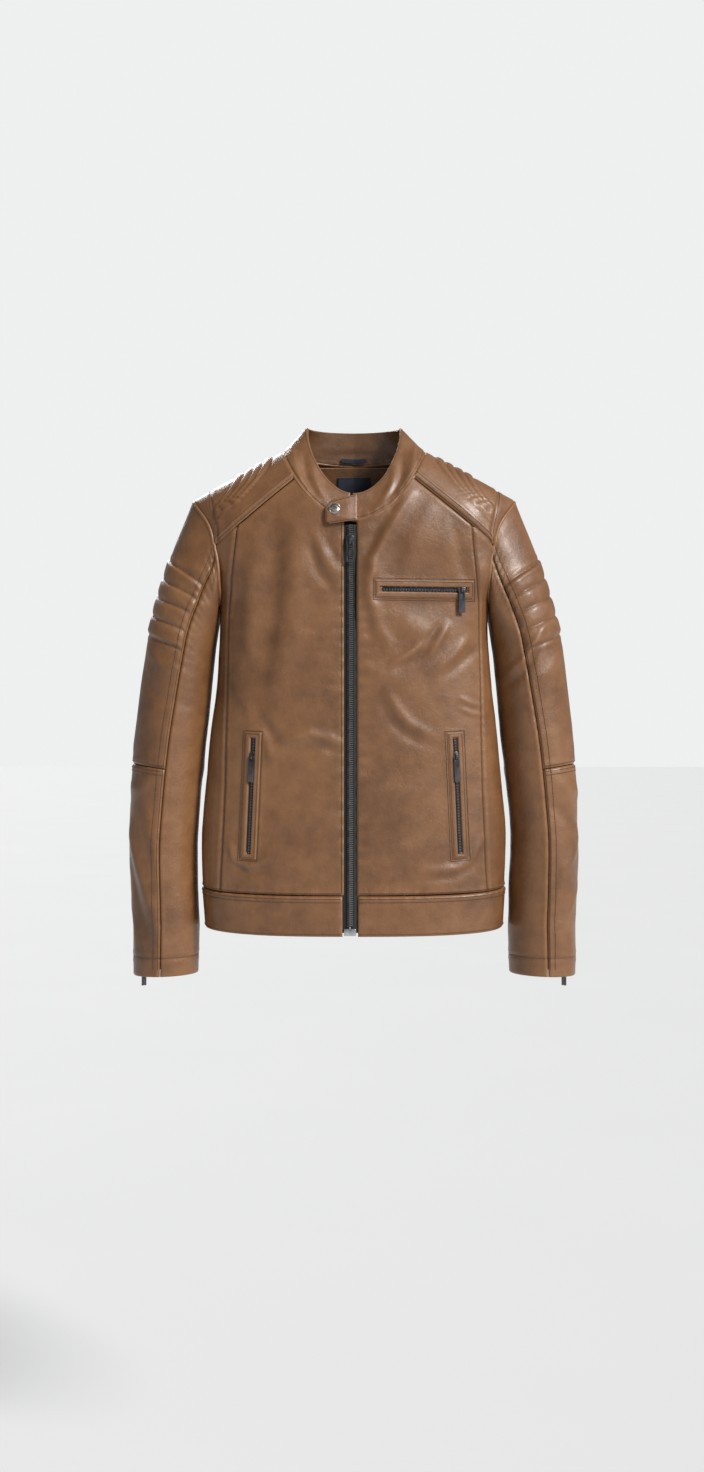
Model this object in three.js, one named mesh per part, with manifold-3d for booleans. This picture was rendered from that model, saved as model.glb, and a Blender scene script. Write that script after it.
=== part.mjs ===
// Leather riding jacket, hanging closed. Millimetres, +Z up, the front faces -Y, the wearer's left is +X.
// The origin is the hanging point: the middle of the neck opening at the height of the shoulder seams.
import * as THREE from 'three';
import { mergeVertices } from 'three/addons/utils/BufferGeometryUtils.js';
import Module from 'manifold-3d';

const wasm = await Module();
wasm.setup();

// ---- driving dimensions -------------------------------------------------------------------------
const SHOULDER_HALF = 224;      // centre line to shoulder tip
const SHOULDER_DROP = 67;       // neck point down to shoulder tip
const NECK_HALF = 100;          // centre line to neck point
const UNDERARM_DROP = 215;      // neck point down to the underarm
const HEM_SEAM_DROP = 604;      // neck point down to the hem seam
const HEM_HEIGHT = 55;          // height of the hem band
const CHEST_HALF = 187.5;       // half width at the underarm
const HIP_HALF = 211;           // half width above the hem
const CHEST_DEPTH_FRONT = 78;   // front of the chest before the mid plane
const FRONT_FLARE = 6;          // how much further forward the front is at the hem
const BACK_DEPTH = 77;          // back behind the mid plane
const BODY_SQUARENESS = 2.8;    // exponent of the rounded body section
const NECK_DROP_FRONT = 103;    // neck point down to the collar seam at the front
const NECK_DROP_BACK = 10;      // neck point down to the collar seam at the back
const COLLAR_TOP_HALF = 65;     // half width of the collar's top edge
const COLLAR_RISE = 36;         // collar's top edge above the neck point
const COLLAR_TOP_FRONT = 65;    // collar's top edge below the neck point at the front
const SLEEVE_END_DROP = 726;    // neck point down to the cuff edge
const SLEEVE_WIDTH = 98;        // flat width of the upper sleeve
const CUFF_WIDTH = 92;          // flat width of the cuff
const SLEEVE_DEPTH = 104;       // front to back depth of the upper sleeve
const ARM_GAP = 6;              // air between the sleeve and the body
const ELBOW = 0.58;             // share of the sleeve above the elbow seam
const FRONT_LINE_X = -5.5;      // the closed front zip lies a little to the wearer's right
const ZIP_EXPOSED = 15;         // bare width of the front zip
const HEM_SAG = 8;              // the hem hangs lower at the front and higher at the back
const ZIP_TOP_DROP = NECK_DROP_FRONT + 7;
const ZIP_BOTTOM_DROP = HEM_SEAM_DROP + HEM_SAG + HEM_HEIGHT - 1;
const TOOTH_PITCH = 20;
const TOOTH_BAND = 2.6;         // width of one row of teeth
const LEATHER = 2;              // leather panel with its backing
const LINING = 0.8;
const LINING_DEPTH = 6;         // lining behind the outer face of the panels
const SEAM_GAP = 0.6;           // half the gap between two panels at a seam
const LAYER_GAP = 0.35;         // air between two flat layers that lie on each other
const CURVED_GAP = 0.8;         // air between two curved layers

const COLORS = {
  leather: 0x8b5e3c, facing: 0x7a5235, lining: 0x1b1b1d, tape: 0x17171a,
  gunmetal: 0x55565a, silver: 0xb8bbc0, nickel: 0x8f8a80, label: 0x20242e, bag: 0x2a2a2c,
};

const material = (color, roughness, metalness = 0) =>
  new THREE.MeshStandardMaterial({ color, roughness, metalness });
const leather = () => material(COLORS.leather, 0.45);
const metal = (color) => material(color, 0.35, 0.9);

const jacket = new THREE.Group();

function add(name, geometry, look, parent = jacket) {
  const mesh = new THREE.Mesh(geometry, look);
  mesh.name = name;
  parent.add(mesh);
  return mesh;
}

// ---- small maths ----------------------------------------------------------------------------------
const mix = (a, b, t) => a + (b - a) * t;
const clamp = (t) => Math.min(1, Math.max(0, t));
const ease = (t) => clamp(t) * clamp(t) * (3 - 2 * clamp(t));
const power = (value, exponent) => Math.sign(value) * Math.abs(value) ** exponent;
const radians = (degrees) => degrees * Math.PI / 180;

// A smooth value through [key, value] pairs whose keys rise.
function profile(pairs) {
  const slope = pairs.map((pair, i) => {
    const before = pairs[Math.max(0, i - 1)];
    const after = pairs[Math.min(pairs.length - 1, i + 1)];
    return (after[1] - before[1]) / (after[0] - before[0]);
  });
  return (key) => {
    if (key <= pairs[0][0]) return pairs[0][1];
    if (key >= pairs.at(-1)[0]) return pairs.at(-1)[1];
    const i = pairs.findIndex((pair) => pair[0] > key) - 1;
    const step = pairs[i + 1][0] - pairs[i][0];
    const t = (key - pairs[i][0]) / step;
    const h = t * t * (3 - 2 * t);
    return mix(pairs[i][1], pairs[i + 1][1], h)
      + step * (slope[i] * t * (1 - t) ** 2 - slope[i + 1] * t * t * (1 - t));
  };
}

// A polyline curve through points of any length, by a parameter from 0 to 1.
function path(points) {
  return (t) => {
    const place = clamp(t) * (points.length - 1);
    const i = Math.min(points.length - 2, Math.floor(place));
    return points[i].map((value, k) => mix(value, points[i + 1][k], place - i));
  };
}

// ---- the body's surface --------------------------------------------------------------------------
// An angle of 0 is the front middle, 90 the wearer's left side, 180 the back. z is negative downward.
const TIP_ANGLE = 70;
const ARMHOLE_FRONT_ANGLE = 60;
const SIDE_SEAM_ANGLE = 110;
const ARMHOLE_HALF = (UNDERARM_DROP - SHOULDER_DROP) / 2;
const ARMHOLE_Z = -(UNDERARM_DROP + SHOULDER_DROP) / 2;
const HEM_END = -(HEM_SEAM_DROP + HEM_HEIGHT);
const bodyDrop = HEM_SEAM_DROP - UNDERARM_DROP;

const halfWidth = profile([
  [HEM_END, HIP_HALF - 4],
  [-HEM_SEAM_DROP, HIP_HALF - 1],
  [-UNDERARM_DROP - 0.81 * bodyDrop, HIP_HALF],
  [-UNDERARM_DROP - 0.51 * bodyDrop, mix(CHEST_HALF, HIP_HALF, 0.57)],
  [-UNDERARM_DROP - 0.19 * bodyDrop, CHEST_HALF + 0.5],
  [-UNDERARM_DROP, CHEST_HALF],
  [ARMHOLE_Z - 0.54 * ARMHOLE_HALF, mix(CHEST_HALF, SHOULDER_HALF, 0.32)],
  [ARMHOLE_Z, mix(CHEST_HALF, SHOULDER_HALF, 0.63)],
  [ARMHOLE_Z + 0.51 * ARMHOLE_HALF, mix(CHEST_HALF, SHOULDER_HALF, 0.84)],
  [-SHOULDER_DROP, SHOULDER_HALF / Math.sin(TIP_ANGLE * Math.PI / 180) ** (2 / BODY_SQUARENESS)],
  [COLLAR_RISE, SHOULDER_HALF + 24],
]);

const shoulderSlope = SHOULDER_DROP / (SHOULDER_HALF - NECK_HALF);
const shoulderLine = (x) => (NECK_HALF - Math.abs(x)) * shoulderSlope;
const frontDepth = (z) => CHEST_DEPTH_FRONT + FRONT_FLARE * (-z - ZIP_TOP_DROP) / (ZIP_BOTTOM_DROP - ZIP_TOP_DROP);
const backDepth = (z) => BACK_DEPTH - 12 * ease((z + 150) / 150);

// How far the shoulders take to round over: wide near the neck, tight at the tip.
const roundOver = (x) => mix(150, 80, ease((Math.abs(x) - 60) / (SHOULDER_HALF - 60)));

// Angle at which the section at height z reaches x on the front.
const angleAt = (x, z) => Math.sign(x)
  * Math.asin(Math.min(1, (Math.abs(x) / halfWidth(z)) ** (BODY_SQUARENESS / 2))) * 180 / Math.PI;

function rawBody(angle, z, inward) {
  const turn = radians(angle);
  const front = Math.cos(turn) > 0;
  const x = (halfWidth(z) - inward) * power(Math.sin(turn), 2 / BODY_SQUARENESS);
  const below = Math.max(0, shoulderLine(halfWidth(z) * power(Math.sin(turn), 2 / BODY_SQUARENESS)) - z);
  const over = Math.acos(1 - Math.min(1, below / roundOver(x)));
  const depth = ((front ? frontDepth(z) : backDepth(z)) - inward)
    * power(Math.abs(Math.cos(turn)), 2 / BODY_SQUARENESS) * Math.sin(over);
  const y = Math.max(LAYER_GAP, depth) * (front ? -1 : 1);
  return new THREE.Vector3(x, y, z - inward * Math.cos(over));
}

// ---- straight runs for the pocket zips --------------------------------------------------------------
// A pocket's tilt is the direction of its zip, in degrees from +X towards +Z.
const CHEST_POCKET = { x: 95, z: -197.6, length: 120, frame: 25, tilt: 0, slot: 8.4 };
const HAND_POCKET = { x: 139.8, z: -477, length: 158, frame: 22, tilt: 92.5, slot: 8.4 };
const pockets = [
  { name: 'chest_pocket', side: 1, ...CHEST_POCKET },
  { name: 'hand_pocket_left', side: 1, ...HAND_POCKET },
  { name: 'hand_pocket_right', side: -1, ...HAND_POCKET, x: -HAND_POCKET.x, tilt: 180 - HAND_POCKET.tilt },
];

function along(pocket, distance, across = 0) {
  const turn = radians(pocket.tilt);
  return {
    x: pocket.x + distance * Math.cos(turn) - across * Math.sin(turn),
    z: pocket.z + distance * Math.sin(turn) + across * Math.cos(turn),
  };
}

function rawFrontY(x, z) {
  return rawBody(angleAt(x, z), z, 0).y;
}

// A pocket's zip pulls the leather straight along its length.
function straighten(x, z) {
  let shift = 0;
  for (const pocket of pockets) {
    const turn = radians(pocket.tilt);
    const run = (x - pocket.x) * Math.cos(turn) + (z - pocket.z) * Math.sin(turn);
    const aside = (z - pocket.z) * Math.cos(turn) - (x - pocket.x) * Math.sin(turn);
    const half = pocket.length / 2 + 8;
    const reach = (1 - ease((Math.abs(run) - half) / 40)) * (1 - ease((Math.abs(aside) - 16) / 50));
    if (reach <= 0) continue;
    const start = along(pocket, -half);
    const end = along(pocket, half);
    const here = along(pocket, run);
    const bulge = rawFrontY(pocket.x, pocket.z) - (rawFrontY(start.x, start.z) + rawFrontY(end.x, end.z)) / 2;
    const line = mix(rawFrontY(start.x, start.z), rawFrontY(end.x, end.z), (run + half) / (2 * half)) + bulge / 2;
    shift += (line - rawFrontY(here.x, here.z)) * reach;
  }
  return shift;
}

function body(angle, z, inward) {
  const point = rawBody(angle, z, inward);
  if (point.y < -LAYER_GAP) point.y += straighten(point.x, point.z);
  return point;
}

const front = (x, z, inward = 0) => body(angleAt(x, z), z, inward);

// ---- closed shells from surfaces ---------------------------------------------------------------------
function fromArrays(positions, index) {
  const geometry = new THREE.BufferGeometry();
  geometry.setAttribute('position', new THREE.Float32BufferAttribute(positions, 3));
  geometry.setIndex(index);
  if (signedVolume(geometry) < 0) {
    for (let i = 0; i < index.length; i += 3) [index[i], index[i + 1]] = [index[i + 1], index[i]];
    geometry.setIndex(index);
  }
  geometry.computeVertexNormals();
  return geometry;
}

function signedVolume(geometry) {
  const index = geometry.getIndex();
  const positions = geometry.getAttribute('position');
  const corner = [0, 1, 2].map(() => new THREE.Vector3());
  let volume = 0;
  for (let i = 0; i < index.count; i += 3) {
    corner.forEach((point, k) => point.fromBufferAttribute(positions, index.getX(i + k)));
    volume += corner[0].dot(corner[1].clone().cross(corner[2])) / 6;
  }
  return volume;
}

// surface(u, v, inward) gives a point. The shell lies between two depths and is closed at its rim.
function shell(surface, columns, rows, outside, inside) {
  const positions = [];
  const index = [];
  const layer = (columns + 1) * (rows + 1);
  for (const depth of [outside, inside]) {
    for (let row = 0; row <= rows; row += 1) {
      for (let column = 0; column <= columns; column += 1) {
        positions.push(...surface(column / columns, row / rows, depth).toArray());
      }
    }
  }
  const at = (row, column) => row * (columns + 1) + column;
  const quad = (a, b, c, d) => index.push(a, b, c, a, c, d);
  for (let row = 0; row < rows; row += 1) {
    for (let column = 0; column < columns; column += 1) {
      const [a, b] = [at(row, column), at(row, column + 1)];
      const [c, d] = [at(row + 1, column + 1), at(row + 1, column)];
      quad(a, b, c, d);
      quad(layer + a, layer + d, layer + c, layer + b);
    }
  }
  const rim = [];
  for (let column = 0; column < columns; column += 1) rim.push(at(0, column));
  for (let row = 0; row < rows; row += 1) rim.push(at(row, columns));
  for (let column = columns; column > 0; column -= 1) rim.push(at(rows, column));
  for (let row = rows; row > 0; row -= 1) rim.push(at(row, 0));
  rim.forEach((a, i) => {
    const b = rim[(i + 1) % rim.length];
    quad(b, a, layer + a, layer + b);
  });
  return fromArrays(positions, index);
}

// A patch drawn in by the seam gap on all four edges.
function inset(surface, gap = SEAM_GAP) {
  const run = (place) => {
    let length = 0;
    for (let i = 0; i < 8; i += 1) length += place(i / 8).distanceTo(place((i + 1) / 8));
    return length;
  };
  const width = (v) => run((t) => surface(t, v, 0));
  const height = (u) => run((t) => surface(u, t, 0));
  return (u, v, inward) => {
    const du = gap / width(v);
    const dv = gap / height(u);
    return surface(mix(du, 1 - du, u), mix(dv, 1 - dv, v), inward);
  };
}

// Fills the space between four curves of [angle, z] pairs on the body.
function coons(bottom, top, left, right) {
  return (u, v) => [0, 1].map((k) => mix(bottom(u)[k], top(u)[k], v) + mix(left(v)[k], right(v)[k], u)
    - mix(mix(bottom(0)[k], bottom(1)[k], u), mix(top(0)[k], top(1)[k], u), v));
}

const onBody = (map, side = 1) => (u, v, inward) => {
  const [angle, z] = map(u, v);
  return body(side * angle, z, inward);
};
// A map whose rows crowd towards its top edge, where the shoulders turn level.
const crowded = (map) => (u, v) => map(u, 1 - (1 - v) ** 2);
const mirrored = (surface, side) => (u, v, inward) => {
  const point = surface(u, v, inward);
  point.x *= side;
  return point;
};

// ---- solids that are cut or joined ---------------------------------------------------------------------
function toSolid(geometry, matrix = new THREE.Matrix4()) {
  const bare = geometry.clone();
  bare.deleteAttribute('normal');
  bare.deleteAttribute('uv');
  bare.applyMatrix4(matrix);
  const merged = mergeVertices(bare, 1e-4);
  return new wasm.Manifold(new wasm.Mesh({
    numProp: 3,
    vertProperties: new Float32Array(merged.getAttribute('position').array),
    triVerts: new Uint32Array(merged.getIndex().array),
  }));
}

function toGeometry(solid) {
  const mesh = solid.getMesh();
  return fromArrays(Array.from(mesh.vertProperties), Array.from(mesh.triVerts));
}

// ---- seam lines of the body ------------------------------------------------------------------------------
const YOKE_NECK_TURN = 54;      // where the yoke seam leaves the neckline, in degrees round the neck
const YOKE_ARM_TURN = 85;       // where it meets the armhole, in degrees round the armhole
const PRINCESS_TOP_X = 161;
const BACK_YOKE_DROP = 118;
const HEM_OPENING = 9.2;        // front line to the hem band's end

const hemSeam = (angle) => -HEM_SEAM_DROP - HEM_SAG * Math.cos(radians(angle));
const hemEdge = (angle) => hemSeam(angle) - HEM_HEIGHT;
const edgeX = (side, half) => side * FRONT_LINE_X + half;

// Neckline in degrees round the neck from the front middle.
function neckline(turn) {
  const cosine = Math.cos(radians(turn));
  const x = NECK_HALF * Math.sin(radians(turn));
  return cosine > 0 ? [x, -NECK_DROP_FRONT * cosine ** 1.7] : [x, -NECK_DROP_BACK * (-cosine) ** 1.5];
}

// Armhole in degrees from the shoulder tip round the front, gives [body angle, z].
function armhole(turn) {
  const half = turn <= 180 ? turn : 360 - turn;
  const sine = Math.sin(radians(half));
  const angle = half < 90
    ? TIP_ANGLE - (TIP_ANGLE - ARMHOLE_FRONT_ANGLE) * sine * sine
    : 90 - (90 - ARMHOLE_FRONT_ANGLE) * sine;
  return [turn <= 180 ? angle : 180 - angle, ARMHOLE_Z + ARMHOLE_HALF * Math.cos(radians(half))];
}

const princess = profile([
  [-HEM_SEAM_DROP, HIP_HALF - 28],
  [-UNDERARM_DROP - 0.77 * bodyDrop, HIP_HALF - 33],
  [-UNDERARM_DROP - 0.38 * bodyDrop, CHEST_HALF - 13.5],
  [-UNDERARM_DROP - 0.04 * bodyDrop, CHEST_HALF - 15.5],
  [-180, CHEST_HALF - 19.5],
  [-111, PRINCESS_TOP_X],
]);

const yokeNeck = neckline(YOKE_NECK_TURN);
const yokeArm = (() => {
  const [angle, z] = armhole(YOKE_ARM_TURN);
  return [rawBody(angle, z, 0).x, z];
})();
const yokeZ = (x) => mix(yokeNeck[1], yokeArm[1], (x - yokeNeck[0]) / (yokeArm[0] - yokeNeck[0]));
const princessTop = yokeZ(PRINCESS_TOP_X);
const princessHem = hemSeam(angleAt(princess(-HEM_SEAM_DROP), -HEM_SEAM_DROP));
const flat = (x, z) => [angleAt(x, z), z];
const ARMHOLE_SIDE_TURN = 180 + Math.asin((SIDE_SEAM_ANGLE - 90) / (90 - ARMHOLE_FRONT_ANGLE)) * 180 / Math.PI;
const armholeSide = armhole(ARMHOLE_SIDE_TURN);
const backYokeTurn = Math.acos((-BACK_YOKE_DROP - ARMHOLE_Z) / ARMHOLE_HALF) * 180 / Math.PI;

// Up the front edge to the neck, then round the neckline as far as the turn.
function frontEdge(side, half, bottom, turn) {
  const x = edgeX(side, half);
  const start = Math.asin(x / NECK_HALF) * 180 / Math.PI;
  const corner = neckline(start)[1];
  const split = 0.75;
  return (v) => (v < split
    ? flat(x, mix(bottom, corner, v / split))
    : flat(...neckline(mix(start, turn, (v - split) / (1 - split)))));
}

// Shoulder seam from the neck point to the tip, on the front.
function shoulder(t) {
  const x = mix(NECK_HALF, SHOULDER_HALF, t);
  return flat(x, shoulderLine(x));
}
const behind = ([angle, z]) => [180 - angle, z];
const across = ([angle, z]) => [360 - angle, z];

// ---- leather panels of the body ------------------------------------------------------------------------
function frontPanel(side) {
  const half = ZIP_EXPOSED / 2;
  const x = edgeX(side, half);
  const bottomX = princess(-HEM_SEAM_DROP);
  return coons(
    (u) => mix2(flat(x, hemSeam(0)), flat(bottomX, princessHem), u),
    (u) => {
      const along = mix(yokeNeck[0], PRINCESS_TOP_X, u);
      return flat(along, yokeZ(along));
    },
    frontEdge(side, half, hemSeam(0), YOKE_NECK_TURN),
    princessLine,
  );
}
function mix2(a, b, t) {
  return [mix(a[0], b[0], t), mix(a[1], b[1], t)];
}
function princessLine(v) {
  const z = mix(princessHem, princessTop, v);
  return flat(princess(z), z);
}
// The side panel's rows follow the front panel's. They end on the side seam, then on the armhole.
const SIDE_SEAM_SHARE = 0.7;    // share of the rows that end on the side seam
const UNDERARM_SHARE = 0.8;     // share of the rows that end below the front of the armhole

function sidePanel(u, v) {
  if (v < SIDE_SEAM_SHARE) {
    const z = mix(hemSeam(SIDE_SEAM_ANGLE), armholeSide[1], v / SIDE_SEAM_SHARE);
    return mix2(princessLine(v), [SIDE_SEAM_ANGLE, z], u);
  }
  const turn = v < UNDERARM_SHARE
    ? mix(ARMHOLE_SIDE_TURN, 180, (v - SIDE_SEAM_SHARE) / (UNDERARM_SHARE - SIDE_SEAM_SHARE))
    : mix(180, YOKE_ARM_TURN, (v - UNDERARM_SHARE) / (1 - UNDERARM_SHARE));
  return mix2(princessLine(v), armhole(turn), u);
}
const shoulderYoke = coons(
  (u) => {
    const x = mix(yokeNeck[0], yokeArm[0], u);
    return flat(x, yokeZ(x));
  },
  shoulder,
  (v) => flat(...neckline(mix(YOKE_NECK_TURN, 90, v))),
  (v) => armhole(YOKE_ARM_TURN * (1 - v)),
);

function backTop(u) {
  if (u < 0.3) return behind(shoulder(1 - u / 0.3));
  if (u > 0.7) return across(behind(shoulder((u - 0.7) / 0.3)));
  const [x, z] = neckline(mix(90, 270, (u - 0.3) / 0.4));
  return [180 - angleAt(x, z), z];
}
const backYokeEnd = armhole(360 - backYokeTurn);
const backYoke = coons(
  (u) => mix2(backYokeEnd, across(backYokeEnd), u),
  backTop,
  (v) => armhole(360 - backYokeTurn * (1 - v)),
  (v) => across(armhole(360 - backYokeTurn * (1 - v))),
);
function backSide(v) {
  if (v < 0.8) return [SIDE_SEAM_ANGLE, mix(hemSeam(SIDE_SEAM_ANGLE), armholeSide[1], v / 0.8)];
  return armhole(mix(ARMHOLE_SIDE_TURN, 360 - backYokeTurn, (v - 0.8) / 0.2));
}
const backPanel = coons(
  (u) => {
    const angle = mix(SIDE_SEAM_ANGLE, 360 - SIDE_SEAM_ANGLE, u);
    return [angle, hemSeam(angle)];
  },
  (u) => mix2(armhole(360 - backYokeTurn), across(armhole(360 - backYokeTurn)), u),
  backSide,
  (v) => across(backSide(v)),
);

// The hem band between two ends: each end gives an angle at a height.
function hemBand(start, end) {
  return (u, v) => {
    const lower = mix(start(hemEdge(0)), end(hemEdge(0)), u);
    return [lower, mix(hemEdge(lower), hemSeam(lower), v)];
  };
}

// ---- pocket slots, welts, zips and bags ----------------------------------------------------------------
const POCKET_END = 7;           // welt beyond each end of the slot
const WELT = 1;
const BAG_DEPTH = 95;

function pocketPatch(pocket, start, end, low, high) {
  return (u, v, inward) => {
    const place = along(pocket, mix(start, end, u), mix(low, high, v));
    return front(place.x, place.z, inward);
  };
}

function slotCutter(pocket) {
  const place = new THREE.Matrix4().makeRotationY(-radians(pocket.tilt));
  place.setPosition(pocket.x, front(pocket.x, pocket.z).y, pocket.z);
  return toSolid(new THREE.BoxGeometry(pocket.length, 60, pocket.slot), place);
}

function cutSlots(geometry, list) {
  return toGeometry(list.reduce((solid, pocket) => solid.subtract(slotCutter(pocket)), toSolid(geometry)));
}

for (const [name, side] of [['left', 1], ['right', -1]]) {
  const own = pockets.filter((pocket) => pocket.side === side);
  const panel = shell(inset(onBody(frontPanel(side), side)), 12, 20, 0, LEATHER);
  add(`front_panel_${name}`, cutSlots(panel, own), leather());
  add(`side_panel_${name}`, shell(inset(onBody(sidePanel, side)), 7, 20, 0, LEATHER), leather());
  add(`shoulder_yoke_${name}`, shell(inset(onBody(crowded(shoulderYoke), side), 1), 8, 6, 0, LEATHER), leather());
  const start = (z) => angleAt(edgeX(side, HEM_OPENING), z);
  const band = onBody(hemBand(start, () => SIDE_SEAM_ANGLE), side);
  add(`hem_band_${name}`, shell(inset(band), 8, 2, -1.2, LEATHER), leather());
}
add('back_panel', shell(inset(onBody(backPanel)), 16, 12, 0, LEATHER), leather());
add('back_yoke', shell(inset(onBody(crowded(backYoke)), 1), 20, 5, 0, LEATHER), leather());
const backBand = onBody(hemBand(() => SIDE_SEAM_ANGLE, () => 360 - SIDE_SEAM_ANGLE));
add('hem_band_back', shell(inset(backBand), 12, 2, -1.2, LEATHER), leather());

for (const pocket of pockets) {
  const half = pocket.length / 2;
  const wide = pocket.frame / 2;
  const frame = shell(
    pocketPatch(pocket, -half - POCKET_END, half + POCKET_END, -wide, wide), 9, 2, -WELT - CURVED_GAP, -CURVED_GAP);
  add(`${pocket.name}_welt`, cutSlots(frame, [pocket]), leather());
  const reach = pocket.slot / 2 - 1.4;
  const chain = pocketPatch(pocket, -half + LAYER_GAP, half - LAYER_GAP, -reach, reach);
  add(`${pocket.name}_zip`, shell(chain, 8, 1, LAYER_GAP, LEATHER - 0.2), material(COLORS.tape, 0.8));
  const isChest = pocket.name === 'chest_pocket';
  const inner = (isChest ? -1 : pocket.side) * BAG_DEPTH;
  const bag = isChest
    ? pocketPatch(pocket, -half, half, 6, inner)
    : pocketPatch(pocket, -half - 10, half - 8, -8 * pocket.side, inner);
  add(`${pocket.name}_bag`, shell(bag, 7, 4, LEATHER + CURVED_GAP, LINING_DEPTH - 2 * CURVED_GAP), material(COLORS.bag, 0.9));
}

// ---- sleeves ------------------------------------------------------------------------------------------
const ARM_SEAM = 1;             // the sleeve starts this far outside the armhole edge
const CUFF_ZIP_TOP = 0.8;       // share of the sleeve above the cuff zip
const CUFF_ZIP_HALF = 6.4;      // half the slit for the cuff zip
const SLEEVE_LINING_DEPTH = LEATHER + 2.4 * CURVED_GAP;
const stationShare = profile([[0, 0], [1 / 6, 0.073], [2 / 6, 0.177], [3 / 6, 0.354], [4 / 6, 0.574],
  [5 / 6, 0.78], [1, 1]]);
const stationGap = profile([[0, 0.1], [1 / 6, 0.6], [2 / 6, 1.1], [3 / 6, 1], [5 / 6, 1.1], [1, 1.5]]);
const stationRise = profile([[0, 1], [1 / 6, 0.676], [2 / 6, 0.372], [3 / 6, 0.17], [4 / 6, 0.047],
  [5 / 6, 0.013], [1, -0.02]]);
const stationWidth = profile([[0, SHOULDER_HALF - CHEST_HALF], [1 / 6, SLEEVE_WIDTH * 0.69],
  [2 / 6, SLEEVE_WIDTH * 0.91], [3 / 6, SLEEVE_WIDTH], [4 / 6, SLEEVE_WIDTH * 0.98],
  [5 / 6, CUFF_WIDTH * 1.03], [1, CUFF_WIDTH]]);
const stationDepth = profile([[0, 0.92], [1 / 6, 1], [2 / 6, 1.04], [3 / 6, 1.02], [4 / 6, 0.95], [1, 0.83]]);
const frontSeam = profile([[0, 96], [0.3, 101], [0.6, 92], [1, 85]]);
const backSeam = profile([[0, -80], [0.5, -60], [1, -45]]);

function ring(t, turn) {
  const drop = UNDERARM_DROP + stationShare(t) * (SLEEVE_END_DROP - UNDERARM_DROP);
  const innerX = halfWidth(-drop) + stationGap(t) * ARM_GAP;
  const halfWide = stationWidth(t) / 2;
  const halfRise = stationRise(t) * ARMHOLE_HALF;
  const centre = new THREE.Vector3(innerX + halfWide, 0, -drop + halfRise);
  const cosine = Math.cos(radians(turn));
  const point = new THREE.Vector3(
    centre.x + halfWide * cosine,
    -stationDepth(t) * SLEEVE_DEPTH / 2 * Math.sin(radians(turn)),
    centre.z + halfRise * cosine,
  );
  return { centre, point };
}

// The sleeve's outside at a share of its length and a turn round it from the outer edge to the front.
function sleeve(t, turn, inward) {
  const { centre, point } = ring(t, turn);
  const fade = 1 - ease(t / 0.3);
  if (fade > 0) {
    const edge = body(...armhole((turn + 360) % 360), 0);
    point.addScaledVector(edge.sub(ring(0, turn).point), fade);
  }
  const outward = point.clone().sub(centre).normalize();
  point.addScaledVector(outward, -inward);
  point.x += ARM_SEAM;
  return point;
}

// Half the slit for the cuff zip, in degrees round the sleeve.
const slitTurn = (t) => (t > CUFF_ZIP_TOP ? CUFF_ZIP_HALF / (CUFF_WIDTH / 2) * 180 / Math.PI : 0);

const outerSleeve = (from, to) => (u, v, inward) => {
  const t = mix(from, to, v);
  return sleeve(t, mix(backSeam(t) + slitTurn(t), frontSeam(t), u), inward);
};
const underSleeve = (u, v, inward) => sleeve(v, mix(frontSeam(v), 360 + backSeam(v) - slitTurn(v), u), inward);

function cuffZipPlace() {
  const low = sleeve(1, backSeam(1), 0);
  const high = sleeve(CUFF_ZIP_TOP, backSeam(CUFF_ZIP_TOP), 0);
  const up = high.clone().sub(low);
  const length = up.length();
  up.normalize();
  const out = low.clone().sub(ring(1, backSeam(1)).centre);
  out.x -= ARM_SEAM;
  out.addScaledVector(up, -out.dot(up)).normalize();
  return { low, up, out, length };
}

// A placed frame: its Z runs along "up" and its -Y faces "out".
function framed(origin, up, out) {
  const y = out.clone().negate();
  const x = y.clone().cross(up);
  return new THREE.Matrix4().makeBasis(x, y, up).setPosition(origin);
}

// ---- sliders and pulls ------------------------------------------------------------------------------------
// Both are made round the hinge: X across, -Y outward, the pull hangs towards -Z.
const ARCH = { width: 2.6, inner: 2.3, leg: 1.2, half: 1.15 };
const PLATE = 2.4;
const EYE = 0.65;

function block(x0, x1, y0, y1, z0, z1) {
  const geometry = new THREE.BoxGeometry(x1 - x0, y1 - y0, z1 - z0);
  geometry.translate((x0 + x1) / 2, (y0 + y1) / 2, (z0 + z1) / 2);
  return geometry;
}

function sliderGeometry(width, above, below) {
  const w = width / 2;
  const outline = new THREE.Shape();
  outline.moveTo(-w * 0.62, -below);
  outline.lineTo(w * 0.62, -below);
  outline.lineTo(w, -below + 3);
  outline.lineTo(w, above - 2);
  outline.lineTo(w - 2, above);
  outline.lineTo(-w + 2, above);
  outline.lineTo(-w, above - 2);
  outline.lineTo(-w, -below + 3);
  const plate = new THREE.ExtrudeGeometry(outline, { depth: PLATE, bevelEnabled: false });
  plate.rotateX(Math.PI / 2);
  plate.translate(0, ARCH.half + PLATE, 0);
  const reach = ARCH.inner + ARCH.leg;
  const front = -ARCH.half - ARCH.leg;
  const arch = toSolid(block(-ARCH.width / 2, ARCH.width / 2, front, ARCH.half + 0.2, -reach, reach))
    .subtract(toSolid(block(-ARCH.width, ARCH.width, -ARCH.half, ARCH.half, -ARCH.inner, ARCH.inner)));
  return toGeometry(toSolid(plate).add(arch));
}

function pullGeometry(width, length, window) {
  const eyeHalf = ARCH.width / 2 + 1;
  const eyeEnd = ARCH.inner + ARCH.leg + 0.9;
  let solid = toSolid(block(-width / 2, width / 2, -EYE, EYE, -length, EYE));
  solid = solid.subtract(toSolid(block(-eyeHalf, eyeHalf, -2, 2, -eyeEnd, -EYE)));
  if (window) {
    const side = width / 2 - 1.8;
    solid = solid.subtract(toSolid(block(-side, side, -2, 2, -length + 2.4, -eyeEnd - 2)));
  }
  return toGeometry(solid);
}

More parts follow.
